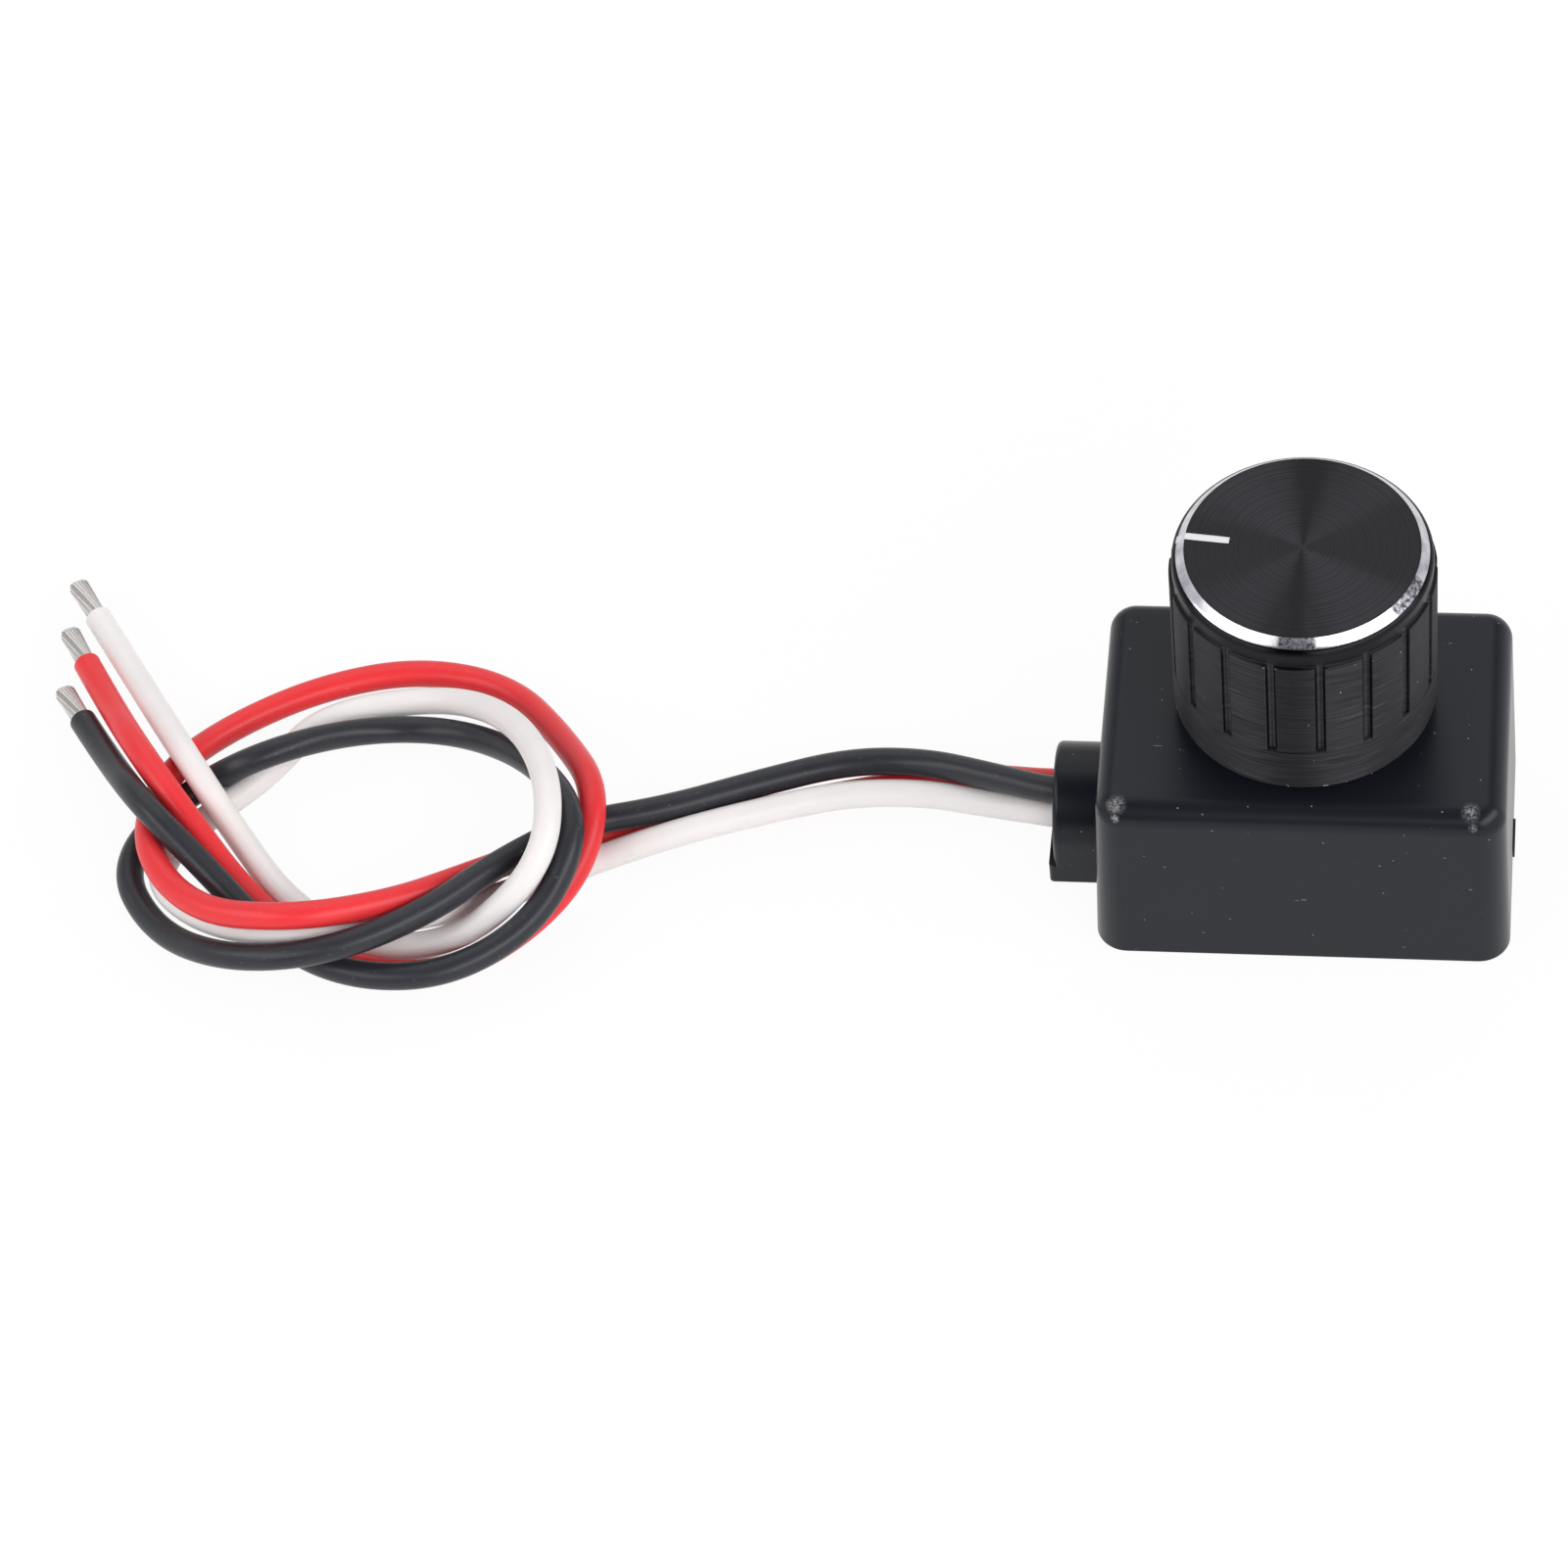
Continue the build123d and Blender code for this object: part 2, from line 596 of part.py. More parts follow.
# Solder joints under the board: round the terminals and lugs, and over the three bare cores
with BuildPart() as solder_joints:
    with BuildSketch(Plane.XY.offset(board_bottom)):
        with Locations((0, terminal_y + terminal_thickness / 2)):
            with GridLocations(terminal_pitch, 0, 3, 1):
                Circle(pad_radius)
        with Locations((0, knob_y)):
            with GridLocations(2 * lug_x, 0, 2, 1):
                Rectangle(2 * lug_thickness, lug_width + lug_thickness)
    extrude(amount=-pad_height, taper=pad_taper)
    with BuildSketch(Plane.XY.offset(board_bottom)):
        with Locations((0, terminal_y + terminal_thickness / 2)):
            with GridLocations(terminal_pitch, 0, 3, 1):
                Rectangle(terminal_width, terminal_thickness)
        with Locations((0, knob_y)):
            with GridLocations(2 * lug_x, 0, 2, 1):
                Rectangle(lug_thickness, lug_width)
    extrude(amount=-pad_height, mode=Mode.SUBTRACT)
    for route in (black_route, red_route, white_route):
        with BuildSketch(Plane(origin=(pad_x + core_wire_length / 2, route[0][1], board_bottom))):
            Circle(wire_pad_radius)
        extrude(amount=-lead_drop)
    for lead_core in leads:
        add(lead_core.part, mode=Mode.SUBTRACT)
solder_joints.part.label = "solder_joints"
export_step(solder_joints.part, "parts/solder_joints.step")
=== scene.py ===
# %% [markdown]
# # A rotary LED dimmer on a white table
# A small black moulded box carries a turned aluminium knob, and three silicone leads come out of an arch
# on its left side, tied in one loose overhand knot. The CAD frame gives every size and place. This script
# gives the skins, the strands and the finishes, and sets the camera where the photograph was taken.

# %% Load the frame
import math

import bmesh
import bpy
import numpy as np
from mathutils import Matrix


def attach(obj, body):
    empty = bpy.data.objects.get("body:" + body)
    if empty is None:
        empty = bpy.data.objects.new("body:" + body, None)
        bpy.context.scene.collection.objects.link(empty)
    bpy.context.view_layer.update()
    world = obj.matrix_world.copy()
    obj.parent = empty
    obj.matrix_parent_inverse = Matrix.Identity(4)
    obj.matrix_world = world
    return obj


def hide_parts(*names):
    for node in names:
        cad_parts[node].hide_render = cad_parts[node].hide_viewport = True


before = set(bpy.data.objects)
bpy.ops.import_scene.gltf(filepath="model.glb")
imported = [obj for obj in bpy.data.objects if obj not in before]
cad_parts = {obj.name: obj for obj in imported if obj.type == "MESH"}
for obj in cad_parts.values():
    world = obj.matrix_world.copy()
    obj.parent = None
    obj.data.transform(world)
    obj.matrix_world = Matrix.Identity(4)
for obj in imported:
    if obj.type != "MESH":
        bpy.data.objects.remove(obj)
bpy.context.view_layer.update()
MM = 0.001

# %% [markdown]
# ## Camera
# A long lens looks down at about 51 degrees, turned a little to the right and rolled by a few degrees, so
# the box's edges converge only slightly. The three directions of the camera are written as the columns of
# its matrix.

# %% Camera
camera_data = bpy.data.cameras.new("photo_camera")
camera_data.sensor_width = 36.0
camera_data.lens = 135.14
camera = bpy.data.objects.new("photo_camera", camera_data)
bpy.context.collection.objects.link(camera)
camera_right = (0.99152, 0.10015, -0.08282)
camera_up = (-0.02672, 0.78075, 0.62427)
camera_back = (0.12718, -0.61676, 0.77681)
camera_place = (18.771 * MM, -300.340 * MM, 384.196 * MM)
camera.matrix_world = Matrix((*zip(camera_right, camera_up, camera_back, camera_place), (0, 0, 0, 1)))
bpy.context.scene.camera = camera
bpy.context.scene.view_settings.view_transform = "Standard"
print("camera distance in mm:", round(camera.location.length / MM))

# %% [markdown]
# ## From a grid of points to a mesh
# Most pieces here are surfaces of two parameters: rows run along a profile or a path, columns run around
# it. The grid goes into a mesh as quads. Where a row shrinks to a point, or the last column lies on the
# first, the points are welded, so poles and seams are closed, and then the faces are turned outwards.


# %% Surface helper
def surface(name, points, uv, kinds=None, crease=40.0, weld=0.0001 * MM):
    """Grid of points to an object at the origin: every cell of (..., rows, columns, 3) becomes one quad.

    uv has two numbers for each point, and kinds is the material index of each cell. Points closer than weld
    are joined, and edges where the faces meet at more than crease degrees stay sharp."""
    rows, columns = points.shape[-3:-1]
    index = np.arange(points.size // 3).reshape(-1, rows, columns)
    quads = np.stack([index[:, :-1, :-1], index[:, :-1, 1:], index[:, 1:, 1:], index[:, 1:, :-1]], axis=-1)
    quads = quads.reshape(-1, 4)
    mesh = bpy.data.meshes.new(name)
    mesh.from_pydata(points.reshape(-1, 3), [], quads, shade_flat=False)
    corner_uv = uv.reshape(-1, 2)[quads].astype(np.float32)
    mesh.uv_layers.new(name="UVMap").uv.foreach_set("vector", corner_uv.ravel())
    if kinds is not None:
        mesh.polygons.foreach_set("material_index", np.ascontiguousarray(kinds, dtype=np.int32).ravel())
    shell = bmesh.new()
    shell.from_mesh(mesh)
    bmesh.ops.remove_doubles(shell, verts=shell.verts, dist=weld)
    bmesh.ops.holes_fill(shell, edges=[edge for edge in shell.edges if edge.is_boundary], sides=0)
    bmesh.ops.recalc_face_normals(shell, faces=shell.faces)
    shell.to_mesh(mesh)
    shell.free()
    mesh.set_sharp_from_angle(angle=math.radians(crease))
    made = bpy.data.objects.new(name, mesh)
    bpy.context.collection.objects.link(made)
    print(name, "faces:", len(mesh.polygons))
    return made


# %% [markdown]
# ## Leads
# Each lead is stranded copper in silicone rubber, 2.3 mm thick and very limp. Its line is a NURBS spline.
# The control points are those of the CAD route, and some in the knot are moved by a millimetre or so to
# follow the photograph, so the line bends as smoothly as the real lead. A bevelled curve would do, but a
# circle carried along the spline's own points also gives a UV map in millimetres, which the surface
# detail needs.

# %% Routes, in millimetres
routes = {
    "black": [
        (-8.5, 0.0, 6.4), (-12.5, -0.3, 6.4), (-16.8, -0.4, 6.3), (-21.3, -0.1, 6.2), (-26.3, 2.2, 5.0),
        (-32.0, 4.5, 3.8), (-38.5, 4.6, 3.4), (-45.5, 2.1, 3.4), (-53.0, -1.2, 3.7), (-60.6, -3.0, 3.6),
        (-66.2, -8.7, 5.3), (-71.1, -15.0, 6.6), (-78.6, -19.3, 6.6), (-87.3, -18.9, 4.6),
        (-94.9, -13.7, 1.0), (-99.1, -7.0, 1.5), (-94.6, 1.2, 1.2), (-86.8, 2.6, 5.5), (-79.6, 8.5, 1.4),
        (-71.2, 8.2, 1.5), (-63.1, 0.6, 6.5), (-59.2, -7.0, 8.1), (-62.1, -13.1, 3.9),
        (-68.7, -19.1, 3.8), (-77.2, -19.3, 3.2), (-84.5, -15.3, 2.8), (-91.0, -9.4, 5.0),
        (-96.3, -5.3, 7.6), (-101.6, 3.1, 3.3), (-104.6, 7.7, 2.4),
    ],
    "red": [
        (-8.5, 2.7, 6.4), (-12.5, 2.1, 5.9), (-16.8, 1.9, 5.0), (-21.3, 2.0, 4.5), (-26.4, 3.9, 2.6),
        (-32.0, 4.5, 1.3), (-38.5, 2.9, 1.2), (-45.6, 0.8, 1.2), (-53.1, -1.2, 1.2), (-61.5, -2.8, 1.2),
        (-68.5, -8.6, 3.6), (-74.2, -14.2, 6.7), (-82.0, -17.6, 8.7), (-90.8, -15.0, 6.0),
        (-96.6, -7.4, 4.6), (-96.1, 1.1, 3.7), (-91.8, 8.5, 1.2), (-84.4, 13.1, 1.2), (-76.3, 15.2, 1.2),
        (-68.4, 13.5, 1.2), (-62.8, 6.3, 3.5), (-58.3, -2.2, 7.1), (-59.4, -8.6, 3.9),
        (-65.0, -13.9, 1.2), (-71.6, -17.8, 1.2), (-80.2, -16.3, 1.4), (-87.9, -9.8, 1.7),
        (-93.2, -4.6, 5.6), (-98.0, 1.3, 6.8), (-102.7, 9.6, 2.9), (-105.4, 14.1, 2.3),
    ],
    "white": [
        (-8.5, -2.7, 6.4), (-12.5, -2.5, 5.5), (-16.8, -1.7, 4.2), (-21.3, -0.3, 3.5), (-26.0, 1.0, 2.7),
        (-32.0, 1.9, 2.9), (-38.5, 1.3, 3.2), (-45.2, -0.7, 3.1), (-52.3, -3.2, 3.0), (-59.7, -5.6, 1.6),
        (-67.2, -9.5, 1.2), (-74.0, -13.8, 3.9), (-81.7, -17.4, 6.3), (-90.0, -14.7, 3.7),
        (-95.9, -9.0, 2.3), (-93.3, -2.4, 1.2), (-87.7, 3.4, 1.2), (-84.4, 9.9, 1.2), (-73.8, 11.8, 1.9),
        (-66.2, 5.5, 6.9), (-61.6, -4.1, 10.5), (-61.9, -10.9, 7.8), (-68.7, -14.4, 2.1),
        (-76.9, -15.0, 1.2), (-84.2, -10.3, 1.2), (-89.6, -3.6, 2.2), (-93.0, -0.2, 6.3),
        (-97.0, 6.2, 4.6), (-102.2, 14.7, 2.3), (-105.4, 19.5, 2.1),
    ],
}
print({tint: len(points) for tint, points in routes.items()})


# %% Lead surfaces
def spline_line(route):
    """Points of the NURBS spline that has the route as its control points, in metres."""
    curve = bpy.data.curves.new("lead_line", "CURVE")
    curve.dimensions = "3D"
    curve.resolution_u = 16
    spline = curve.splines.new("NURBS")
    spline.points.add(len(route) - 1)
    spline.points.foreach_set("co", np.c_[np.array(route) * MM, np.ones(len(route))].ravel())
    spline.order_u = 3
    spline.use_endpoint_u = True
    guide = bpy.data.objects.new("lead_line", curve)
    bpy.context.collection.objects.link(guide)
    line = bpy.data.meshes.new_from_object(guide)
    points = np.empty(len(line.vertices) * 3)
    line.vertices.foreach_get("co", points)
    bpy.data.objects.remove(guide)
    bpy.data.curves.remove(curve)
    bpy.data.meshes.remove(line)
    return points.reshape(-1, 3)


def unit(vectors):
    """Vectors divided by their length."""
    return vectors / np.linalg.norm(vectors, axis=-1, keepdims=True)


def lead_tube(name, line, radius, rounding, sides=28):
    """Circle carried along a line: point + radius (cos a sideways + sin a upwards), with cut ends.

    Sideways is the tangent crossed with the vertical, so the tube doesn't twist. At both ends the radius
    shrinks by the rounding and then to nothing."""
    tangent = unit(np.gradient(line, axis=0))
    sideways = unit(np.cross(tangent, (0, 0, 1)))
    upwards = np.cross(sideways, tangent)
    station = np.r_[0, 0, 0, 1:len(line) - 1, [len(line) - 1] * 3]
    size = np.full(len(station), radius)
    size[[0, 1, -2, -1]] = 0, radius - rounding, radius - rounding, 0
    place = line[station]
    place[2] += tangent[0] * rounding
    place[-3] -= tangent[-1] * rounding
    angle = np.linspace(0, 2 * np.pi, sides + 1)
    ring = np.cos(angle)[:, None] * sideways[station, None] + np.sin(angle)[:, None] * upwards[station, None]
    length = np.r_[0, np.cumsum(np.linalg.norm(np.diff(line, axis=0), axis=1))][station] / MM
    uv = np.stack(np.broadcast_arrays(length[:, None], angle / (2 * np.pi)), axis=-1)
    return surface(name, place[:, None] + size[:, None, None] * ring, uv)


lead_radius, end_rounding = 1.15 * MM, 0.12 * MM
lines = {tint: spline_line(route) for tint, route in routes.items()}
leads = {tint: lead_tube(tint + "_lead", line, lead_radius, end_rounding) for tint, line in lines.items()}

# %% [markdown]
# ## Bare tips
# Each lead ends in a bundle of fine tinned strands, twisted and cut square, a little wider at the cut.
# One strand is a circle carried along a helix. All 37 are worked out together, as one more axis of the
# same array.


# %% Tip strands
def strand_bundle(name, start, along, length, radius, lay):
    """Strands in rings of 1, 6, 12 and 18 about a straight axis: each centre turns once about it in one lay.

    A strand is thicker than a seventh of the bundle, so neighbours are pressed into each other. The bundle
    spreads with the square of the way to its end, and the strands are cut a little unevenly. The UV map's
    second number counts the strands."""
    ring_pitch, strand_radius, flare, uneven = 0.272 * radius, 0.185 * radius, 0.18, 0.02
    ring = np.repeat([0, 1, 2, 3], [1, 6, 12, 18])
    turn = np.r_[0, np.arange(6) / 6, np.arange(12) / 12 + 0.03, np.arange(18) / 18 + 0.01] * 2 * np.pi
    strand = np.arange(len(ring))
    reach = length * (1 - uneven * (1 + np.sin(5.1 * strand)))
    share = np.r_[0, np.linspace(0, 1, 15), 1]
    way = share * reach[:, None]
    spread = 1 + flare * share**2
    angle = turn[:, None] + 2 * np.pi * way / lay
    offset = ring[:, None] * ring_pitch * spread
    sideways = unit(np.cross(along, (0, 0, 1)))
    upwards = np.cross(sideways, along)
    circling = np.cos(angle)[..., None] * sideways + np.sin(angle)[..., None] * upwards
    centre = start + way[..., None] * along + offset[..., None] * circling
    thick = np.full(len(share), strand_radius)
    thick[[0, -1]] = 0
    around = np.linspace(0, 2 * np.pi, 9)
    circle = np.cos(around)[:, None] * sideways + np.sin(around)[:, None] * upwards
    points = centre[:, :, None] + thick[:, None, None] * circle
    turns = strand[:, None, None] + around / (2 * np.pi)
    uv = np.stack(np.broadcast_arrays(way[..., None] / MM, turns), axis=-1)
    return surface(name, points, uv, crease=50.0)


tip_radius, tip_length, tip_inside, strand_lay = 0.8 * MM, 4.2 * MM, 0.6 * MM, 30 * MM
tips = {}
for tint, line in lines.items():
    heading = unit(np.array(routes[tint][-1]) - np.array(routes[tint][-2]))
    root = line[-1] - heading * tip_inside
    tips[tint] = strand_bundle(
        tint + "_strands", root, heading, tip_length + tip_inside, tip_radius, strand_lay
    )

for tint, lead in leads.items():
    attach(lead, "housing")
    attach(tips[tint], "housing")
    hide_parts(tint + "_wire")
    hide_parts(tint + "_tip")

# %% [markdown]
# ## Box
# The box is an ABS moulding: drafted walls, round corners, a generous round along the roof's edge. Its
# section is one closed profile, up the outside, over the roof to the bushing hole and down the inside. It
# is carried round a rounded rectangle. Moving a rounded rectangle inwards only shortens its corner
# radius, so each column needs just a fixed point and an outward direction. Where the outlet and the side
# tab pass, the profile is lifted.

# %% Box plan
half_width, half_depth, box_height = 16.8, 11.8, 17.6
corner_radius, edge_radius, wall, roof, rim, rebate = 2.6, 1.9, 1.6, 1.8, 0.8, 2.0
draft, foot_bevel = math.radians(1.7), 0.1
lean = math.tan(draft)
axis_y, hole_radius = 0.8, 3.6
outlet_radius, tunnel_radius, outlet_z = 4.9, 3.3, 4.8
tab_y, tab_half, tab_height = 0.6, 1.6, 1.4
side_x, side_y = half_width - corner_radius, half_depth - corner_radius
# Two columns or rows this far either side of a line make a sharp step there
step = 0.004
arch_y = tunnel_radius * np.cos(np.linspace(0, np.pi, 25))
left_y = np.r_[side_y, 7, outlet_radius + step, outlet_radius - step, tunnel_radius + step, arch_y,
               -tunnel_radius - step, -outlet_radius + step, -outlet_radius - step, -7, -side_y]
right_y = np.r_[-side_y, -5, tab_y - tab_half - step, tab_y - tab_half + step, tab_y,
                tab_y + tab_half - step, tab_y + tab_half + step, 5, side_y]
front_x = np.linspace(-side_x, side_x, 15)
corner = np.linspace(0, np.pi / 2, 13)[1:-1]
ones = np.ones_like(corner)
plan_x = np.r_[0 * left_y - side_x, -side_x * ones, front_x, side_x * ones, 0 * right_y + side_x,
               side_x * ones, -front_x, -side_x * ones]
plan_y = np.r_[left_y, -side_y * ones, 0 * front_x - side_y, -side_y * ones, right_y, side_y * ones,
               0 * front_x + side_y, side_y * ones]
facing = np.r_[0 * left_y + np.pi, np.pi + corner, 0 * front_x + 1.5 * np.pi, 1.5 * np.pi + corner,
               0 * right_y, corner, 0 * front_x + np.pi / 2, np.pi / 2 + corner]
plan_x, plan_y, facing = (np.r_[values, values[0]] for values in (plan_x, plan_y, facing))
outward = np.stack([np.cos(facing), np.sin(facing)], axis=-1)
on_left = (plan_x == -side_x) & np.isclose(facing, np.pi)
on_right = (plan_x == side_x) & (facing == 0)
under_arch = outlet_z + np.sqrt(np.clip(tunnel_radius**2 - plan_y**2, 0, None))
lift = np.where(on_left & (abs(plan_y) < outlet_radius), rebate, 0.0)
lift = np.where(on_left & (abs(plan_y) <= tunnel_radius), under_arch, lift)
lift = np.where(on_right & (abs(plan_y - tab_y) < tab_half), tab_height, lift)
print("columns round the box:", len(facing))


# %% Box surface
def box_surface(name):
    """Closed section carried round the plan: corner centre + (corner radius - inset) outwards, by height.

    The inset grows with height by the draft and follows a quarter circle over the roof's edge. The rows of
    the roof pass straight from that edge to the bushing hole, and the inside comes back by the wall and the
    rebate."""
    edge = np.linspace(draft, np.pi / 2, 14)
    edge_z = box_height - edge_radius
    edge_inset = edge_z * lean + edge_radius / math.cos(draft)
    wall_z = np.r_[foot_bevel, np.linspace(tab_height, edge_z - 0.3, 9)]
    inner_z = np.linspace(box_height - roof, rebate, 8)
    z = np.r_[0, wall_z, edge_z + edge_radius * np.sin(edge)]
    inset = np.r_[foot_bevel, wall_z * lean, edge_inset - edge_radius * np.cos(edge)]
    z_in = np.r_[inner_z, rebate, 0, 0]
    inset_in = np.r_[wall + inner_z * lean, rim, rim, foot_bevel]

    def carried(insets, heights, drafted):
        """Rows of points at these insets and heights, raised to the lift; drafted rows lean in with it."""
        raised = np.maximum(heights[:, None], lift)
        insets = insets[:, None] + np.where(drafted[:, None], (raised - heights[:, None]) * lean, 0)
        flat = np.stack([plan_x, plan_y], axis=-1) + (corner_radius - insets)[..., None] * outward
        return np.concatenate([flat, raised[..., None]], axis=-1)

    outside = carried(inset, z, np.r_[False, np.full(len(z) - 1, True)])
    inside = carried(inset_in, z_in, np.r_[np.full(len(inner_z), True), False, False, False])
    axis = np.array((0, axis_y, 0))
    hole = axis + hole_radius * unit((outside[-1] - axis) * (1, 1, 0))
    share = np.linspace(0, 1, 12)[1:, None, None]
    top = outside[-1] * (1 - share) + (hole + (0, 0, box_height)) * share
    below = (hole + (0, 0, box_height - roof))[None]
    points = np.concatenate([outside, top, below, inside])
    rows = np.arange(len(points))[:, None] * np.ones(points.shape[1])
    uv = np.stack([rows, np.arange(points.shape[1]) * np.ones_like(rows)], axis=-1)
    return surface(name, points * MM, uv)


box_skin = box_surface("box_skin")


# %% [markdown]
# ## Wire outlet
# The leads leave through a short arched collar. Its section, a wall with a rounded outer edge, is carried
# over the arch: up one side, over a half circle and down the other side. The bottom cover's tongue closes
# it from below.


# %% Outlet surface
def outlet_surface(name):
    """Wall section carried over the arch, in x and in distance from its axis: point = axis + distance out.

    The axis point climbs along the straight sides and rests at the half circle's centre."""
    sides = np.linspace(rebate, outlet_z, 5)[:-1]
    half_turn = np.linspace(0, np.pi, 41)
    turn = np.r_[0 * sides, half_turn, 0 * sides + np.pi]
    axis_z = np.r_[sides, 0 * half_turn + outlet_z, sides[::-1]]
    bend = np.linspace(0, np.pi / 2, 8)
    root_x, middle_x, end_x, round_edge, inner_edge = -15.9, -18.0, -20.6, 0.5, 0.12
    distance = np.r_[outlet_radius, outlet_radius, outlet_radius - round_edge * (1 - np.cos(bend)),
                     tunnel_radius + inner_edge * (1 - np.sin(bend)), tunnel_radius, tunnel_radius,
                     outlet_radius]
    x = np.r_[root_x, middle_x, end_x + round_edge * (1 - np.sin(bend)),
              end_x + inner_edge * (1 - np.cos(bend)), middle_x, root_x, root_x]
    y = distance[:, None] * np.cos(turn)
    z = axis_z + distance[:, None] * np.sin(turn)
    points = np.stack([x[:, None] * np.ones_like(y), y, z], axis=-1)
    uv = np.stack([x[:, None] * np.ones_like(y), turn * np.ones_like(y)], axis=-1)
    return surface(name, points * MM, uv)


outlet_skin = outlet_surface("outlet_skin")
for skin in (box_skin, outlet_skin):
    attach(skin, "housing")
    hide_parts("housing_shell")

# %% [markdown]
# ## Knob
# The knob is turned from aluminium: a flat spun top, a bright diamond-cut edge, a round shoulder, and
# lands with seventeen milled grooves. It is one grid of revolution. Columns near each groove keep a fixed
# width instead of a fixed angle, so the groove walls and the pointer's slot are straight, and the cells
# carry the finish they have.

# %% Knob profile
knob_foot = 19.3
knob_place = np.array((0, axis_y, knob_foot))
knob_height, top_radius, cut, side_radius, neck_radius = 17.0, 9.25, 0.65, 10.5, 10.25
groove_top, land_top, land_bevel, knob_bevel = 14.9, 14.6, 0.07, 0.2
seam_z, seam_half, seam_depth = 4.4, 0.08, 0.12
bore_radius, bore_top = 9.2, 15.6
shoulder_round, shoulder_r, shoulder_z = 0.6, 9.652, 15.803
groove_count, groove_start, groove_round = 17, math.radians(-80.2), 0.4
pointer_groove, pointer_from, pointer_depth = 12, 5.75, 0.08
top_rows = np.r_[0, 0.3, 0.8, 1.5, 2.5, 3.5, 4.5, 5.5, pointer_from - step, pointer_from + step,
                 6.7, 7.3, 7.9, 8.5, 9.0, top_radius]
cut_rows = np.linspace(0, cut, 5)[1:]
bend = np.radians(np.linspace(65.6, -5.1, 9))[1:]
profile = np.concatenate([
    # Flat top, bright cut edge and round shoulder
    np.stack([top_rows, 0 * top_rows + knob_height], axis=-1),
    np.stack([top_radius + cut_rows, knob_height - cut_rows], axis=-1),
    np.stack([np.cos(bend), np.sin(bend)], axis=-1) * shoulder_round + (shoulder_r, shoulder_z),
    # Neck, where the grooves end, and the lands
    [(neck_radius, groove_top + step), (neck_radius, groove_top - step), (neck_radius, land_top),
     (side_radius - land_bevel, land_top), (side_radius, land_top - land_bevel)],
    np.stack([np.full(6, side_radius), np.linspace(13.5, 5.5, 6)], axis=-1),
    # Seam, foot and the hollow inside
    [(side_radius, seam_z + seam_half), (side_radius - seam_depth, seam_z + step),
     (side_radius - seam_depth, seam_z - step), (side_radius, seam_z - seam_half), (side_radius, 2.2),
     (side_radius, knob_bevel), (side_radius - knob_bevel, 0)],
    [(bore_radius, 0), (bore_radius, bore_top), (0, bore_top)],
])
radius, height = profile[:, 0:1], profile[:, 1:2]
print("rows of the knob's profile:", len(profile))

# %% Knob columns
groove_flank, straight_from, on_land = 0.46, 6.0, 9.0
straight = np.maximum(radius, straight_from)
beside = np.r_[-groove_flank, groove_round * np.sin(np.linspace(-np.pi / 2, np.pi / 2, 15)), groove_flank]
land = np.linspace(0, 1, 12)[1:-1]
pitch = 2 * np.pi / groove_count
flank = np.arcsin(groove_flank / straight)
offset = np.concatenate([np.arcsin(beside / straight), flank + (pitch - 2 * flank) * land], axis=1)
groove = np.repeat(np.arange(groove_count), offset.shape[1])
column = np.tile(np.arange(offset.shape[1]), groove_count)
groove, column = np.r_[groove, groove_count], np.r_[column, 0]
angle = groove_start + groove * pitch + offset[:, column]
across = np.r_[beside, np.full(len(land), on_land)][column]
print("columns round the knob:", len(across))

# %% Knob surface
bore_rows, groove_centre, pointer_half, pointer_foot = 3, 10.44, 0.37, 16.3
outer = np.arange(len(profile))[:, None] < len(profile) - bore_rows
in_groove = (abs(across) <= groove_round) & outer & (height > seam_z) & (height < groove_top)
groove_floor = groove_centre - np.sqrt(np.clip(groove_round**2 - across**2, 0, None))
in_pointer = (groove == pointer_groove) & (abs(across) < pointer_half) & outer & (radius > pointer_from)
reach = np.where(in_groove, np.minimum(radius, groove_floor), radius + 0 * across)
rise = np.where(in_pointer, np.minimum(height, knob_height - pointer_depth), height + 0 * across)
knob_points = np.stack([reach * np.cos(angle), reach * np.sin(angle), rise], axis=-1) + knob_place
run = np.r_[0, np.cumsum(np.linalg.norm(np.diff(profile, axis=0), axis=1))]
turns = (groove + column / offset.shape[1]) / groove_count
knob_uv = np.stack(np.broadcast_arrays(run[:, None], turns), axis=-1)
SIDE, TOP, EDGE, POINTER = range(4)
side_count = len(profile) - len(top_rows) - len(cut_rows)
row_kind = np.repeat([TOP, EDGE, SIDE], [len(top_rows) - 1, len(cut_rows), side_count])[:, None]
slot_cell = in_pointer[:-1, :-1] & in_pointer[1:, 1:] & (height[1:] > pointer_foot)
kinds = np.where(slot_cell, POINTER, row_kind)
knob_skin = surface("knob_skin", knob_points * MM, knob_uv, kinds, crease=30.0)
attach(knob_skin, "knob")
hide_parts("knob_cap")

# %% [markdown]
# ## Finishes
# One helper turns an sRGB hex value to the linear numbers that Blender works in, one adds a node with its
# settings and links, one opens a material, and one scatters specks for dust and lint. Patterns read
# Object coordinates, in metres, so a scale is a thousand divided by the size in millimetres.


# %% Material helpers
def colour(code):
    """sRGB hex value to linear red, green, blue and alpha."""
    shown = np.array([int(code[i:i + 2], 16) for i in (1, 3, 5)]) / 255
    linear = np.where(shown <= 0.04045, shown / 12.92, ((shown + 0.055) / 1.055) ** 2.4)
    return (*linear.tolist(), 1.0)


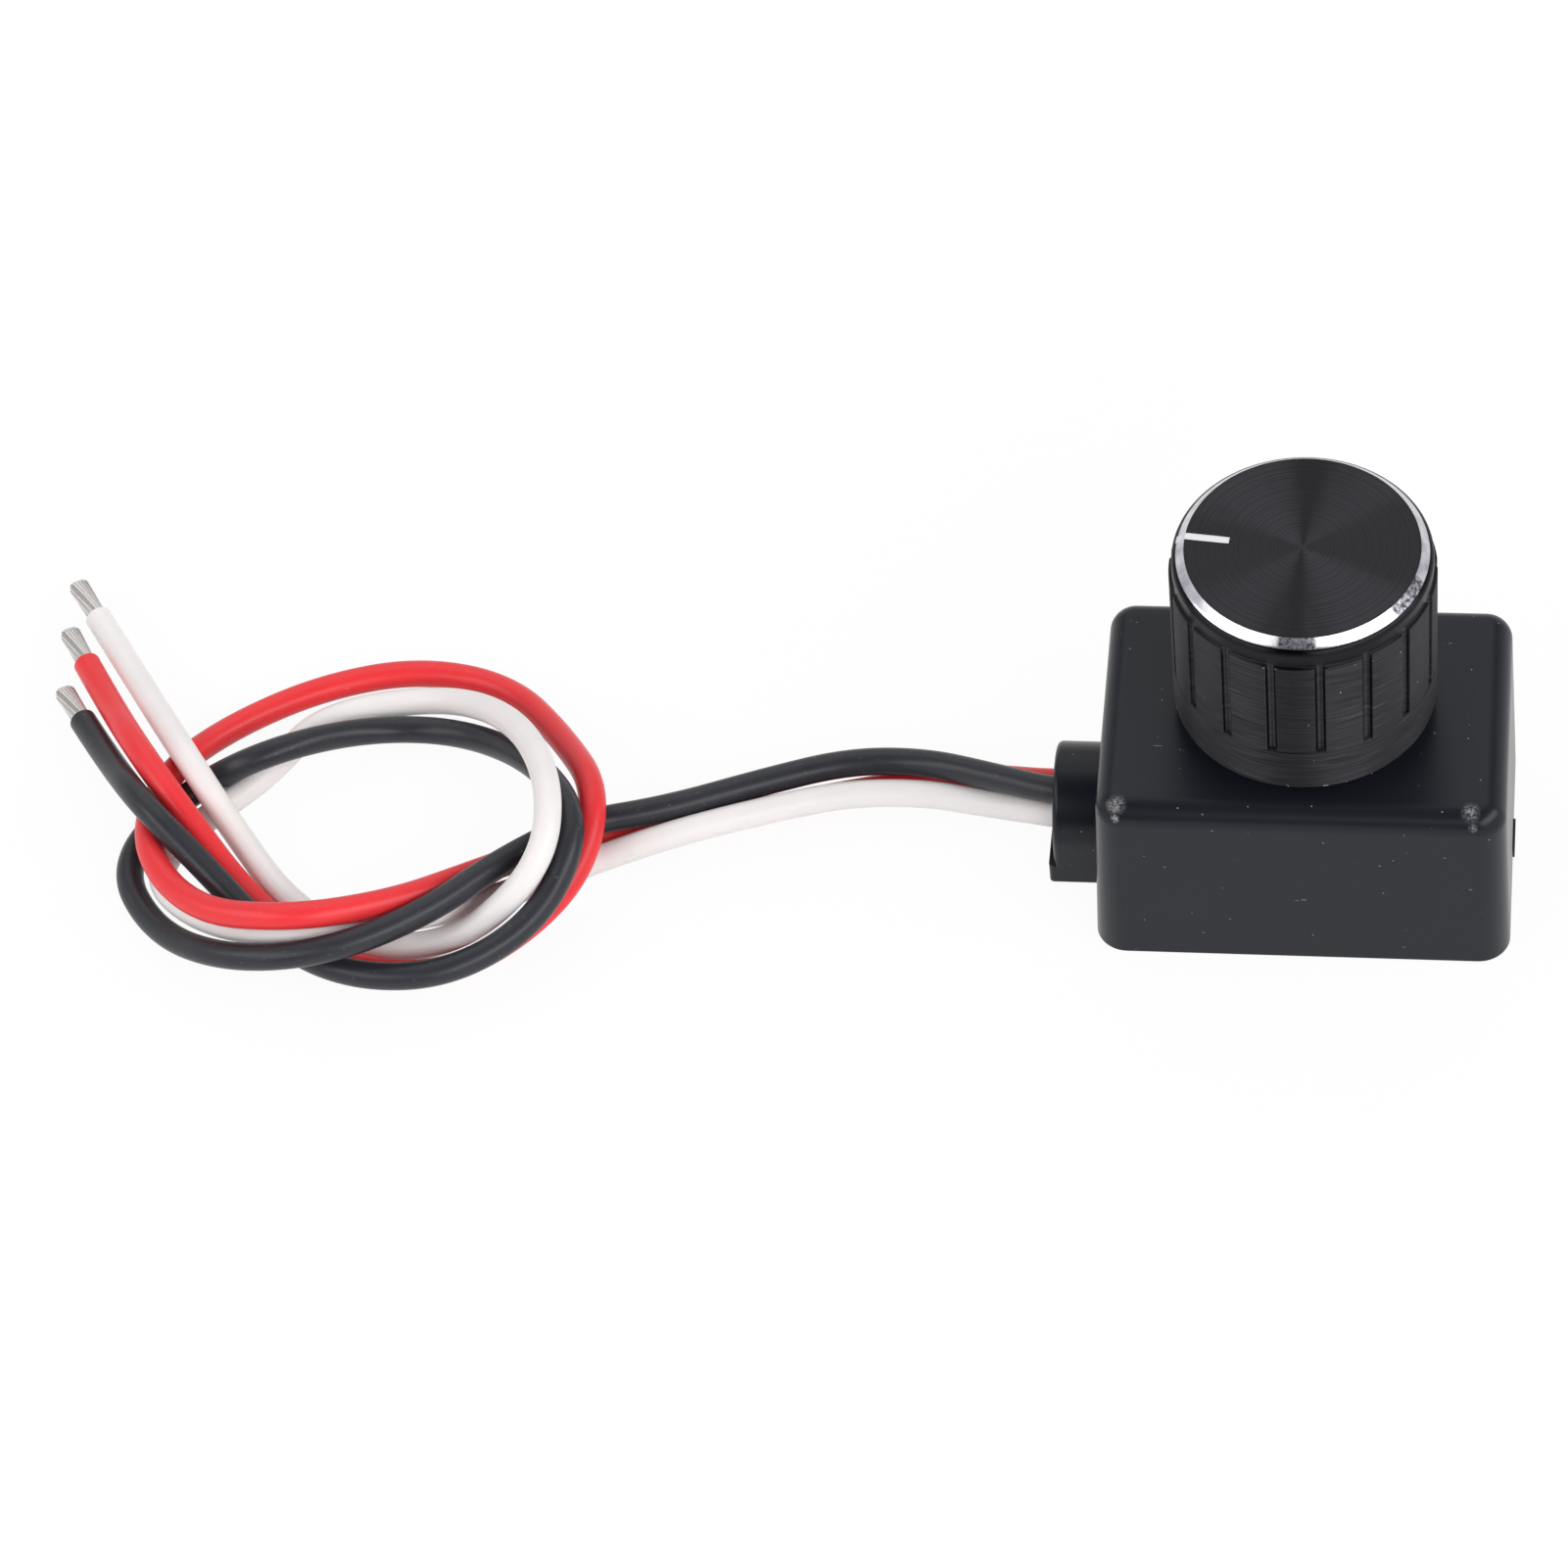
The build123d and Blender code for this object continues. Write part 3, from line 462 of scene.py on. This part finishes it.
def add(tree, kind, inputs, **settings):
    """One shader node: settings are its own properties, inputs are socket values or outputs linked to them.

    A socket is named, or numbered where two share a name. The node's outputs in use come back by name."""
    node = tree.nodes.new("ShaderNode" + kind)
    for key, value in settings.items():
        setattr(node, key, value)
    for key, value in inputs.items():
        named = [socket for socket in node.inputs if socket.enabled and socket.name == key]
        socket = named[0] if named else node.inputs[key]
        if isinstance(value, bpy.types.NodeSocket):
            tree.links.new(value, socket)
        else:
            socket.default_value = value
    return {socket.name: socket for socket in node.outputs if socket.enabled}


def open_material(name):
    """Empty material and its node tree."""
    material = bpy.data.materials.new(name)
    material.use_nodes = True
    material.node_tree.nodes.clear()
    return material, material.node_tree


def scattered(tree, vector, scale, outer, inner, sparse, channel):
    """Mask of separate specks: each cell has a dot that fades from outer to inner, in shares of a cell.

    Only cells whose random number in the colour channel is above sparse keep their dot."""
    cells = add(tree, "TexVoronoi", {"Vector": vector, "Scale": scale})
    dot = add(tree, "MapRange", {"Value": cells["Distance"], "From Min": outer, "From Max": inner})["Result"]
    pick = add(tree, "SeparateColor", {"Color": cells["Color"]})[channel]
    pick = add(tree, "Math", {0: pick, 1: sparse}, operation="GREATER_THAN")["Value"]
    return add(tree, "Math", {0: dot, 1: pick}, operation="MULTIPLY")["Value"]


# %% [markdown]
# ### Moulded ABS
# Black ABS from a finely eroded mould: a satin skin with a soft sheen. It carries white dust and a few
# lint hairs, and both front top corners carry a painted highlight: a pale sheen with a fine grain.

# %% Moulded ABS material
moulded_abs, tree = open_material("moulded_black_abs")
place = add(tree, "TexCoord", {})["Object"]
grain = add(tree, "TexNoise", {"Vector": place, "Scale": 1000 / 0.25, "Detail": 3.0})["Fac"]
cloud = add(tree, "TexNoise", {"Vector": place, "Scale": 1000 / 7.0, "Detail": 4.0})["Fac"]
base = add(tree, "Mix", {"Factor": cloud, "A": colour("#16181f"), "B": colour("#1b1d25")}, data_type="RGBA")
# The outlet's collar, left of the box's wall, is dustier than the box
sideways = add(tree, "SeparateXYZ", {"Vector": place})["X"]
sparse = add(tree, "MapRange", {"Value": sideways, "From Min": -17.4 * MM, "From Max": -16.4 * MM,
                                "To Min": 0.2, "To Max": 0.68})["Result"]
dust = scattered(tree, place, 1000 / 0.95, 0.075, 0.045, sparse, "Red")
# Lint is the same pattern in cells 14 mm long and 1 mm wide, on coordinates that are curled by noise
curl = add(tree, "TexNoise", {"Vector": place, "Scale": 1000 / 1.6})["Color"]
curl = add(tree, "VectorMath", {0: curl, "Scale": 1.2 * MM}, operation="SCALE")["Vector"]
curl = add(tree, "VectorMath", {0: place, 1: curl}, operation="ADD")["Vector"]
curl = add(tree, "Mapping", {"Vector": curl, "Rotation": (0.5, 0.4, 0.9),
                             "Scale": (1000 / 14, 1000 / 1, 1000 / 1)})["Vector"]
lint = scattered(tree, curl, 1.0, 0.045, 0.025, 0.1, "Green")
specks = add(tree, "Math", {0: dust, 1: lint}, operation="MAXIMUM")["Value"]
specks = add(tree, "Math", {0: specks, 1: 0.5}, operation="MULTIPLY")["Value"]
print("patterns on the box, nodes:", len(tree.nodes))

# %% Painted highlight on the box's front top corners
corner_sheen_grain = add(tree, "TexNoise", {"Vector": place, "Scale": 1000 / 0.2, "Detail": 6.0})["Fac"]
corner_sheen_grain = add(tree, "MapRange", {"Value": corner_sheen_grain, "From Min": 0.36, "From Max": 0.64})["Result"]
# Pale spots on both front top corners are a painted highlight, a sheen with a fine grain
sheen_spots = [
    (-14.5, -10.1, 17.05, 1.0), (-14.6, -10.95, 16.5, 0.5),
    (13.5, -10.0, 17.1, 1.0), (13.7, -10.9, 16.5, 0.5),
]
painted_corner_sheen = 0.0
for x, y, z, size in sheen_spots:
    sheen_spot = add(tree, "VectorMath", {0: place, 1: (x * MM, y * MM, z * MM)}, operation="DISTANCE")["Value"]
    sheen_spot = add(tree, "MapRange", {"Value": sheen_spot, "From Min": size * MM, "From Max": 0.1 * MM,
                                   "To Max": 0.75}, interpolation_type="SMOOTHSTEP")["Result"]
    painted_corner_sheen = add(tree, "Math", {0: painted_corner_sheen, 1: sheen_spot}, operation="MAXIMUM")["Value"]
painted_corner_sheen = add(tree, "Math", {0: painted_corner_sheen, 1: corner_sheen_grain}, operation="MULTIPLY")["Value"]
# Painted highlight: the corners are mixed towards pale grey
base = add(tree, "Mix", {"Factor": painted_corner_sheen, "A": base["Result"], "B": colour("#b9b9bc")}, data_type="RGBA")
base = add(tree, "Mix", {"Factor": specks, "A": base["Result"], "B": colour("#c2c4c8")}, data_type="RGBA")
satin = add(tree, "MapRange", {"Value": cloud, "To Min": 0.25, "To Max": 0.32})["Result"]
bump = add(tree, "Bump", {"Height": grain, "Strength": 0.08, "Distance": 0.00002})["Normal"]
shader = add(tree, "BsdfPrincipled", {"Base Color": base["Result"], "Roughness": satin, "Normal": bump,
                                      "Specular IOR Level": 0.21, "IOR": 1.54})
add(tree, "OutputMaterial", {"Surface": shader["BSDF"]})
for skin in (box_skin, outlet_skin):
    skin.data.materials.append(moulded_abs)
print(moulded_abs.name, "nodes:", len(tree.nodes))

# %% [markdown]
# ### Anodised aluminium
# The knob's side is turned and dyed black: the tool leaves fine streaks round it, so the sheen spreads
# upwards into bands. The UV map's first direction runs along the profile, across the streaks, and serves
# as the tangent of the anisotropic shine. The round shoulder is darker and glossier than the lands. A few
# short scratches, pale nicks on the foot edge and specks of dust come from handling.

# %% Anodised side material
anodised_side, tree = open_material("black_anodised_aluminium_side")
place = add(tree, "TexCoord", {})["Object"]
around = add(tree, "Mapping", {"Vector": place, "Scale": (1000 / 3.5, 1000 / 3.5, 1000 / 0.1)})["Vector"]
streak = add(tree, "TexNoise", {"Vector": around, "Scale": 1.0, "Detail": 3.0})["Fac"]
base = add(tree, "MapRange", {"Value": streak, "From Min": 0.32, "From Max": 0.68})["Result"]
base = add(tree, "Mix", {"Factor": base, "A": colour("#2d2c2f"), "B": colour("#464549")}, data_type="RGBA")
slant = add(tree, "Mapping", {"Vector": place, "Rotation": (0.2, 0.35, 0.1),
                              "Scale": (1000 / 6.25, 1000 / 6.25, 1000 / 0.07)})["Vector"]
scratch = add(tree, "TexNoise", {"Vector": slant, "Scale": 1.0, "Detail": 1.0})["Fac"]
scratch = add(tree, "MapRange", {"Value": scratch, "From Min": 0.73, "From Max": 0.8,
                                 "To Max": 0.3})["Result"]
height_at = add(tree, "SeparateXYZ", {"Vector": place})["Z"]
foot = add(tree, "MapRange", {"Value": height_at, "From Min": (knob_foot + 0.45) * MM,
                              "From Max": (knob_foot + 0.15) * MM})["Result"]
nick = add(tree, "TexNoise", {"Vector": place, "Scale": 1000 / 0.7, "Detail": 2.0})["Fac"]
nick = add(tree, "MapRange", {"Value": nick, "From Min": 0.66, "From Max": 0.7})["Result"]
nick = add(tree, "Math", {0: nick, 1: foot}, operation="MULTIPLY")["Value"]
worn = add(tree, "Math", {0: scratch, 1: nick}, operation="MAXIMUM")["Value"]
dust = scattered(tree, place, 1000 / 1.2, 0.06, 0.035, 0.55, "Red")
worn = add(tree, "Math", {0: worn, 1: dust}, operation="MAXIMUM")["Value"]
base = add(tree, "Mix", {"Factor": worn, "A": base["Result"], "B": colour("#c9c7c9")}, data_type="RGBA")
round_top = add(tree, "MapRange", {"Value": height_at, "From Min": (knob_foot + land_top + 0.1) * MM,
                                   "From Max": (knob_foot + groove_top - 0.05) * MM})["Result"]
base = add(tree, "Mix", {"Factor": round_top, "A": base["Result"], "B": colour("#242326")}, data_type="RGBA")
gloss = add(tree, "MapRange", {"Value": streak, "To Min": 0.42, "To Max": 0.54})["Result"]
gloss = add(tree, "Math", {0: round_top, 1: -0.2, 2: gloss}, operation="MULTIPLY_ADD")["Value"]
bump = add(tree, "Bump", {"Height": streak, "Strength": 0.12, "Distance": 0.00002})["Normal"]
across_streaks = add(tree, "Tangent", {}, direction_type="UV_MAP", uv_map="UVMap")["Tangent"]
shader = add(tree, "BsdfPrincipled", {"Base Color": base["Result"], "Roughness": gloss, "Metallic": 1.0,
                                      "Normal": bump, "Anisotropic": 0.97, "Tangent": across_streaks})
add(tree, "OutputMaterial", {"Surface": shader["BSDF"]})
knob_skin.data.materials.append(anodised_side)
print(anodised_side.name, "nodes:", len(tree.nodes))

# %% [markdown]
# ### Spun top
# The flat top was faced on the lathe and dyed: concentric tool marks about 0.15 mm apart give two pairs
# of fan shaped gleams. The marks are noise of one dimension in the distance from the axis.

# %% Spun top material
spun_top, tree = open_material("black_anodised_aluminium_spun_top")
place = add(tree, "TexCoord", {})["Object"]
centred = add(tree, "VectorMath", {0: place, 1: (0, axis_y * MM, 0)}, operation="SUBTRACT")["Vector"]
centred = add(tree, "VectorMath", {0: centred, 1: (1, 1, 0)}, operation="MULTIPLY")["Vector"]
distance = add(tree, "VectorMath", {0: centred}, operation="LENGTH")["Value"]
rings = add(tree, "TexNoise", {"W": distance, "Scale": 1000 / 0.15, "Detail": 1.0},
            noise_dimensions="1D")["Fac"]
rings = add(tree, "MapRange", {"Value": rings, "From Min": 0.3, "From Max": 0.7})["Result"]
base = add(tree, "Mix", {"Factor": rings, "A": colour("#363539"), "B": colour("#464549")}, data_type="RGBA")
gloss = add(tree, "MapRange", {"Value": rings, "To Min": 0.42, "To Max": 0.54})["Result"]
bump = add(tree, "Bump", {"Height": rings, "Strength": 0.1, "Distance": 0.00002})["Normal"]
across_rings = add(tree, "Tangent", {}, direction_type="UV_MAP", uv_map="UVMap")["Tangent"]
shader = add(tree, "BsdfPrincipled", {"Base Color": base["Result"], "Roughness": gloss, "Metallic": 1.0,
                                      "Normal": bump, "Anisotropic": 0.97, "Tangent": across_rings})
add(tree, "OutputMaterial", {"Surface": shader["BSDF"]})
knob_skin.data.materials.append(spun_top)
print(spun_top.name, "nodes:", len(tree.nodes))

# %% [markdown]
# ### Diamond-cut edge and pointer
# After dyeing, a diamond tool cuts the edge back to bright metal, and the pointer is milled through the
# dye. The edge is nearly a mirror. A short stretch at the front is painted dark and speckled: a painted
# reflection of the dark gap in front. Another stretch at the right is dulled and speckled by wear. Both
# stretches are masked by the angle round the axis.

# %% Bright metal materials
bright_edge, tree = open_material("diamond_cut_aluminium")
place = add(tree, "TexCoord", {})["Object"]
centred = add(tree, "VectorMath", {0: place, 1: (0, axis_y * MM, 0)}, operation="SUBTRACT")["Vector"]
cut_radius, cut_z = 9.58 * MM, 35.97 * MM
painted_reflection_and_wear = 0.0
# At -90 degrees, in front: painted dark reflection; at -28 degrees, at the right: wear
for degrees, half in ((-90, 9.5), (-28, 13)):
    turn = math.radians(degrees)
    middle = (cut_radius * math.cos(turn), cut_radius * math.sin(turn), cut_z)
    apart = add(tree, "VectorMath", {0: centred, 1: middle}, operation="DISTANCE")["Value"]
    span = cut_radius * math.radians(half)
    mask = add(tree, "MapRange", {"Value": apart, "From Min": span, "From Max": span * 0.85})["Result"]
    painted_reflection_and_wear = add(tree, "Math", {0: painted_reflection_and_wear, 1: mask}, operation="MAXIMUM")["Value"]
speckle = add(tree, "TexNoise", {"Vector": place, "Scale": 1000 / 0.3, "Detail": 4.0})["Fac"]
speckle = add(tree, "MapRange", {"Value": speckle, "From Min": 0.34, "From Max": 0.6,
                                 "To Min": 0.45})["Result"]
painted_reflection_and_wear = add(tree, "Math", {0: painted_reflection_and_wear, 1: speckle}, operation="MULTIPLY")["Value"]
turned = add(tree, "TexNoise", {"Vector": place, "Scale": 1000 / 1.2, "Detail": 3.0})["Fac"]
turned = add(tree, "MapRange", {"Value": turned, "From Min": 0.3, "From Max": 0.65})["Result"]
base = add(tree, "Mix", {"Factor": turned, "A": colour("#adabb3"), "B": colour("#d6d4da")}, data_type="RGBA")
# Dark speckled colour: painted reflection in front, wear at the right
base = add(tree, "Mix", {"Factor": painted_reflection_and_wear, "A": base["Result"], "B": colour("#3c3c42")}, data_type="RGBA")
gloss = add(tree, "MapRange", {"Value": painted_reflection_and_wear, "To Min": 0.22, "To Max": 0.45})["Result"]
shader = add(tree, "BsdfPrincipled", {"Base Color": base["Result"], "Roughness": gloss, "Metallic": 1.0})
add(tree, "OutputMaterial", {"Surface": shader["BSDF"]})
knob_skin.data.materials.append(bright_edge)

milled_line, tree = open_material("milled_bare_aluminium")
place = add(tree, "TexCoord", {})["Object"]
mill = add(tree, "TexNoise", {"Vector": place, "Scale": 1000 / 0.2, "Detail": 3.0})["Fac"]
base = add(tree, "Mix", {"Factor": mill, "A": colour("#d6d3d8"), "B": colour("#f3f1f3")}, data_type="RGBA")
gloss = add(tree, "MapRange", {"Value": mill, "To Min": 0.3, "To Max": 0.5})["Result"]
shader = add(tree, "BsdfPrincipled", {"Base Color": base["Result"], "Roughness": gloss, "Metallic": 1.0})
add(tree, "OutputMaterial", {"Surface": shader["BSDF"]})
knob_skin.data.materials.append(milled_line)
print("knob finishes:", [material.name for material in knob_skin.data.materials])

# %% [markdown]
# ### Silicone rubber
# Extruded silicone is satin and soft to the eye: broad highlights, a faint lengthwise ripple from the
# die, and cloudy dust. The UV map runs in millimetres along the lead and in turns around it, so the
# ripple follows it.


# %% Silicone materials
def silicone(name, dark, light, dusty):
    """Silicone from its darker and lighter tone and the colour of its dust."""
    material, tree = open_material(name)
    uv = add(tree, "TexCoord", {})["UV"]
    place = add(tree, "TexCoord", {})["Object"]
    cloud = add(tree, "TexNoise", {"Vector": place, "Scale": 1000 / 3.0, "Detail": 4.0})["Fac"]
    base = add(tree, "Mix", {"Factor": cloud, "A": colour(dark), "B": colour(light)}, data_type="RGBA")
    dust = add(tree, "TexNoise", {"Vector": place, "Scale": 1000 / 0.35, "Detail": 3.0})["Fac"]
    dust = add(tree, "MapRange", {"Value": dust, "From Min": 0.66, "From Max": 0.8, "To Max": 0.35})["Result"]
    base = add(tree, "Mix", {"Factor": dust, "A": base["Result"], "B": colour(dusty)}, data_type="RGBA")
    die = add(tree, "Mapping", {"Vector": uv, "Scale": (0.15, 40, 1)})["Vector"]
    die = add(tree, "TexNoise", {"Vector": die, "Scale": 1.0, "Detail": 2.0})["Fac"]
    bump = add(tree, "Bump", {"Height": die, "Strength": 0.1, "Distance": 0.00003})["Normal"]
    gloss = add(tree, "MapRange", {"Value": cloud, "To Min": 0.31, "To Max": 0.41})["Result"]
    shader = add(tree, "BsdfPrincipled", {"Base Color": base["Result"], "Roughness": gloss, "Normal": bump,
                                          "Specular IOR Level": 0.45, "IOR": 1.41})
    add(tree, "OutputMaterial", {"Surface": shader["BSDF"]})
    return material


leads["black"].data.materials.append(silicone("black_silicone", "#27282d", "#313238", "#8a8b90"))
leads["red"].data.materials.append(silicone("red_silicone", "#e02f36", "#ea393d", "#f27a78"))
leads["white"].data.materials.append(silicone("white_silicone", "#e5e1e0", "#eeeae9", "#d3cecc"))
print("silicone leads:", [lead.data.materials[0].name for lead in leads.values()])

# %% [markdown]
# ### Tinned copper
# Tin over copper is a soft grey white with a warm tinge where the copper shows through. Some strands are
# duller than others, so each strand takes its tone from its number, and drawing leaves an uneven gloss.

# %% Tinned copper material
tinned_copper, tree = open_material("tinned_copper_strands")
place = add(tree, "TexCoord", {})["Object"]
drawn = add(tree, "TexNoise", {"Vector": place, "Scale": 1000 / 0.25, "Detail": 3.0})["Fac"]
warm = add(tree, "TexNoise", {"Vector": place, "Scale": 1000 / 1.2, "Detail": 2.0})["Fac"]
number = add(tree, "SeparateXYZ", {"Vector": add(tree, "TexCoord", {})["UV"]})["Y"]
number = add(tree, "Math", {0: number}, operation="FLOOR")["Value"]
tone = add(tree, "TexNoise", {"W": number, "Scale": 0.45, "Detail": 0.0}, noise_dimensions="1D")["Fac"]
tone = add(tree, "MapRange", {"Value": tone, "From Min": 0.3, "From Max": 0.6})["Result"]
base = add(tree, "Mix", {"Factor": tone, "A": colour("#8f8c8b"), "B": colour("#e9e6e4")}, data_type="RGBA")
warm = add(tree, "MapRange", {"Value": warm, "From Min": 0.5, "From Max": 0.75, "To Max": 0.3})["Result"]
base = add(tree, "Mix", {"Factor": warm, "A": base["Result"], "B": colour("#c4b3aa")}, data_type="RGBA")
gloss = add(tree, "MapRange", {"Value": drawn, "To Min": 0.4, "To Max": 0.55})["Result"]
shader = add(tree, "BsdfPrincipled", {"Base Color": base["Result"], "Roughness": gloss, "Metallic": 1.0})
add(tree, "OutputMaterial", {"Surface": shader["BSDF"]})
for tip in tips.values():
    tip.data.materials.append(tinned_copper)
print(tinned_copper.name, "nodes:", len(tree.nodes))

# %% [markdown]
# ### Pieces that stay as CAD solids
# The bottom cover, and everything under the knob and inside the box, keep their CAD shape. They are
# machined or moulded, so a mottled tone, uneven gloss and a slight bump at the size of each material's
# own grain are enough.


# %% Finishes of the CAD pieces
def mottled(name, dark, light, grain_mm, gloss_from, gloss_to, metallic):
    """Material between two tones, mixed by noise of the given grain, which also drives gloss and bump."""
    material, tree = open_material(name)
    place = add(tree, "TexCoord", {})["Object"]
    noise = add(tree, "TexNoise", {"Vector": place, "Scale": 1000 / grain_mm, "Detail": 4.0})["Fac"]
    base = add(tree, "Mix", {"Factor": noise, "A": colour(dark), "B": colour(light)}, data_type="RGBA")
    gloss = add(tree, "MapRange", {"Value": noise, "To Min": gloss_from, "To Max": gloss_to})["Result"]
    bump = add(tree, "Bump", {"Height": noise, "Strength": 0.1, "Distance": 0.00002})["Normal"]
    shader = add(tree, "BsdfPrincipled", {"Base Color": base["Result"], "Roughness": gloss, "Normal": bump,
                                          "Metallic": metallic})
    add(tree, "OutputMaterial", {"Surface": shader["BSDF"]})
    return material


nickel = mottled("nickel_plated_steel", "#9c9a95", "#c4c2bc", 0.4, 0.25, 0.4, 1.0)
nylon = mottled("moulded_black_nylon", "#1b1b1c", "#262627", 0.5, 0.45, 0.6, 0.0)
phenolic = mottled("moulded_brown_phenolic", "#2b2119", "#3a2c20", 0.6, 0.4, 0.55, 0.0)
carbon = mottled("printed_carbon_track", "#141414", "#222222", 0.15, 0.5, 0.7, 0.0)
brass = mottled("rolled_spring_brass", "#b08d45", "#cdac62", 0.5, 0.25, 0.4, 1.0)
laminate = mottled("green_masked_laminate", "#0d4a24", "#146334", 0.5, 0.3, 0.42, 0.0)
epoxy = mottled("moulded_black_epoxy", "#1c1d1f", "#292a2c", 0.12, 0.5, 0.65, 0.0)
ceramic = mottled("glazed_dark_ceramic", "#1d1f22", "#2b2e33", 0.3, 0.2, 0.35, 0.0)
sleeve = mottled("printed_can_sleeve", "#23283f", "#2f3653", 1.0, 0.3, 0.42, 0.0)
solder = mottled("reflowed_solder", "#a5a6a8", "#cfd0d2", 0.3, 0.2, 0.4, 1.0)
cad_finishes = {
    moulded_abs: ["bottom_cover"],
    nickel: ["pot_shaft", "pot_bushing", "pot_lugs", "pot_washer", "pot_nut"],
    nylon: ["knob_core"],
    phenolic: ["pot_rotor", "pot_base"],
    carbon: ["pot_track"],
    brass: ["pot_wiper", "pot_terminals"],
    laminate: ["circuit_board"],
    epoxy: ["mosfet", "control_chip", "diode"],
    ceramic: ["chip_resistors"],
    sleeve: ["capacitor"],
    solder: ["solder_joints"],
    tinned_copper: ["black_core", "red_core", "white_core"],
}
for material, names in cad_finishes.items():
    for name in names:
        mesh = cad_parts[name].data
        mesh.materials.clear()
        mesh.materials.append(material)
print("finished CAD pieces:", sum(len(names) for names in cad_finishes.values()))

# %% [markdown]
# ## Table and light
# The photograph is a product shot on pure white. Two soft panels stand at the front, left and right, and
# leave a dark gap where the camera is, and a bright patch of the white sweep behind gleams in the flat
# top. The table is a white plane. Seen directly or in a reflection it glows nearly white by itself, and
# the rest of it still takes light, so the shadow under the box and the leads stays.

# %% Table
table_half, table_z, glow_share = 3.0, -0.2 * MM, 0.94
table_points = table_half * np.array([(-1, -1, 0), (1, -1, 0), (1, 1, 0), (-1, 1, 0)]) + (0, 0, table_z)
table_mesh = bpy.data.meshes.new("white_table")
table_mesh.from_pydata(table_points, [], [(0, 1, 2, 3)])
white_table = bpy.data.objects.new("white_table", table_mesh)
bpy.context.collection.objects.link(white_table)
table_finish, tree = open_material("white_table_finish")
ray = add(tree, "LightPath", {})
seen = add(tree, "Math", {0: ray["Is Camera Ray"], 1: ray["Is Glossy Ray"]}, operation="MAXIMUM")["Value"]
seen = add(tree, "Math", {0: seen, 1: ray["Is Transmission Ray"]}, operation="MAXIMUM")["Value"]
seen = add(tree, "Math", {0: seen, 1: glow_share}, operation="MULTIPLY")["Value"]
matt = add(tree, "BsdfDiffuse", {"Color": colour("#f7f7f7")})["BSDF"]
glow = add(tree, "Emission", {"Color": (1, 1, 1, 1), "Strength": 1.0})["Emission"]
mixed = add(tree, "MixShader", {"Fac": seen, 1: matt, 2: glow})["Shader"]
add(tree, "OutputMaterial", {"Surface": mixed})
table_mesh.materials.append(table_finish)
print("table half width in m:", table_half)

# %% Surroundings
surroundings = bpy.data.worlds.new("white_sweep")
surroundings.use_nodes = True
tree = surroundings.node_tree
tree.nodes.clear()
mirrored_view, room_right, room_front = (-0.127, 0.617, 0.777), (0.988, -0.156, 0), (-0.156, -0.988, 0)
heading = add(tree, "TexCoord", {})["Generated"]
rise = add(tree, "SeparateXYZ", {"Vector": heading})["Z"]
level = add(tree, "MapRange", {"Value": rise, "From Min": 0.15, "From Max": 0.6, "To Min": 0.85,
                               "To Max": 0.32}, interpolation_type="SMOOTHSTEP")["Result"]
behind = add(tree, "VectorMath", {0: heading, 1: mirrored_view}, operation="DOT_PRODUCT")["Value"]
behind = add(tree, "MapRange", {"Value": behind, "From Min": 0.8, "From Max": 0.95, "To Max": 1.25},
             interpolation_type="SMOOTHSTEP")["Result"]
level = add(tree, "Math", {0: level, 1: behind}, operation="MAXIMUM")["Value"]
aside = add(tree, "VectorMath", {0: heading, 1: room_right}, operation="DOT_PRODUCT")["Value"]
aside = add(tree, "Math", {0: aside}, operation="ABSOLUTE")["Value"]
aside = add(tree, "MapRange", {"Value": aside, "From Min": 0.45, "From Max": 0.22},
            interpolation_type="SMOOTHSTEP")["Result"]
before = add(tree, "VectorMath", {0: heading, 1: room_front}, operation="DOT_PRODUCT")["Value"]
before = add(tree, "MapRange", {"Value": before, "From Min": -0.1, "From Max": 0.3},
             interpolation_type="SMOOTHSTEP")["Result"]
gap = add(tree, "Math", {0: aside, 1: before}, operation="MULTIPLY")["Value"]
gap = add(tree, "MapRange", {"Value": gap, "To Min": 1.0, "To Max": 0.08})["Result"]
level = add(tree, "Math", {0: level, 1: gap}, operation="MULTIPLY")["Value"]
direct = add(tree, "LightPath", {})["Is Camera Ray"]
level = add(tree, "Math", {0: level, 1: direct}, operation="MAXIMUM")["Value"]
sweep = add(tree, "Background", {"Color": (1, 1, 1, 1), "Strength": level})["Background"]
add(tree, "OutputWorld", {"Surface": sweep})
bpy.context.scene.world = surroundings
print("surroundings:", surroundings.name)


# %% Soft panels
def soft_panel(name, azimuth, elevation, distance, width, tall, power, aim=(0, 0, 20 * MM)):
    """Wide lamp on a sphere round the point that it faces: aim + distance along azimuth and elevation."""
    lamp_data = bpy.data.lights.new(name, "AREA")
    lamp_data.shape = "RECTANGLE"
    lamp_data.size, lamp_data.size_y = width, tall
    lamp_data.energy = power
    a, e = math.radians(azimuth), math.radians(elevation)
    back = np.array((math.cos(a) * math.cos(e), math.sin(a) * math.cos(e), math.sin(e)))
    right = unit(np.cross((0, 0, 1), back))
    columns = (right, np.cross(back, right), back, back * distance + aim)
    lamp = bpy.data.objects.new(name, lamp_data)
    bpy.context.collection.objects.link(lamp)
    lamp.matrix_world = Matrix((*zip(*(column.tolist() for column in columns)), (0, 0, 0, 1)))
    return lamp


panels = [
    soft_panel("left_panel", 210, 38, 0.9, 1.04, 0.38, 3.6),
    soft_panel("right_panel", -33, 38, 0.9, 1.62, 0.38, 8.4),
]
print("soft panels:", len(panels))
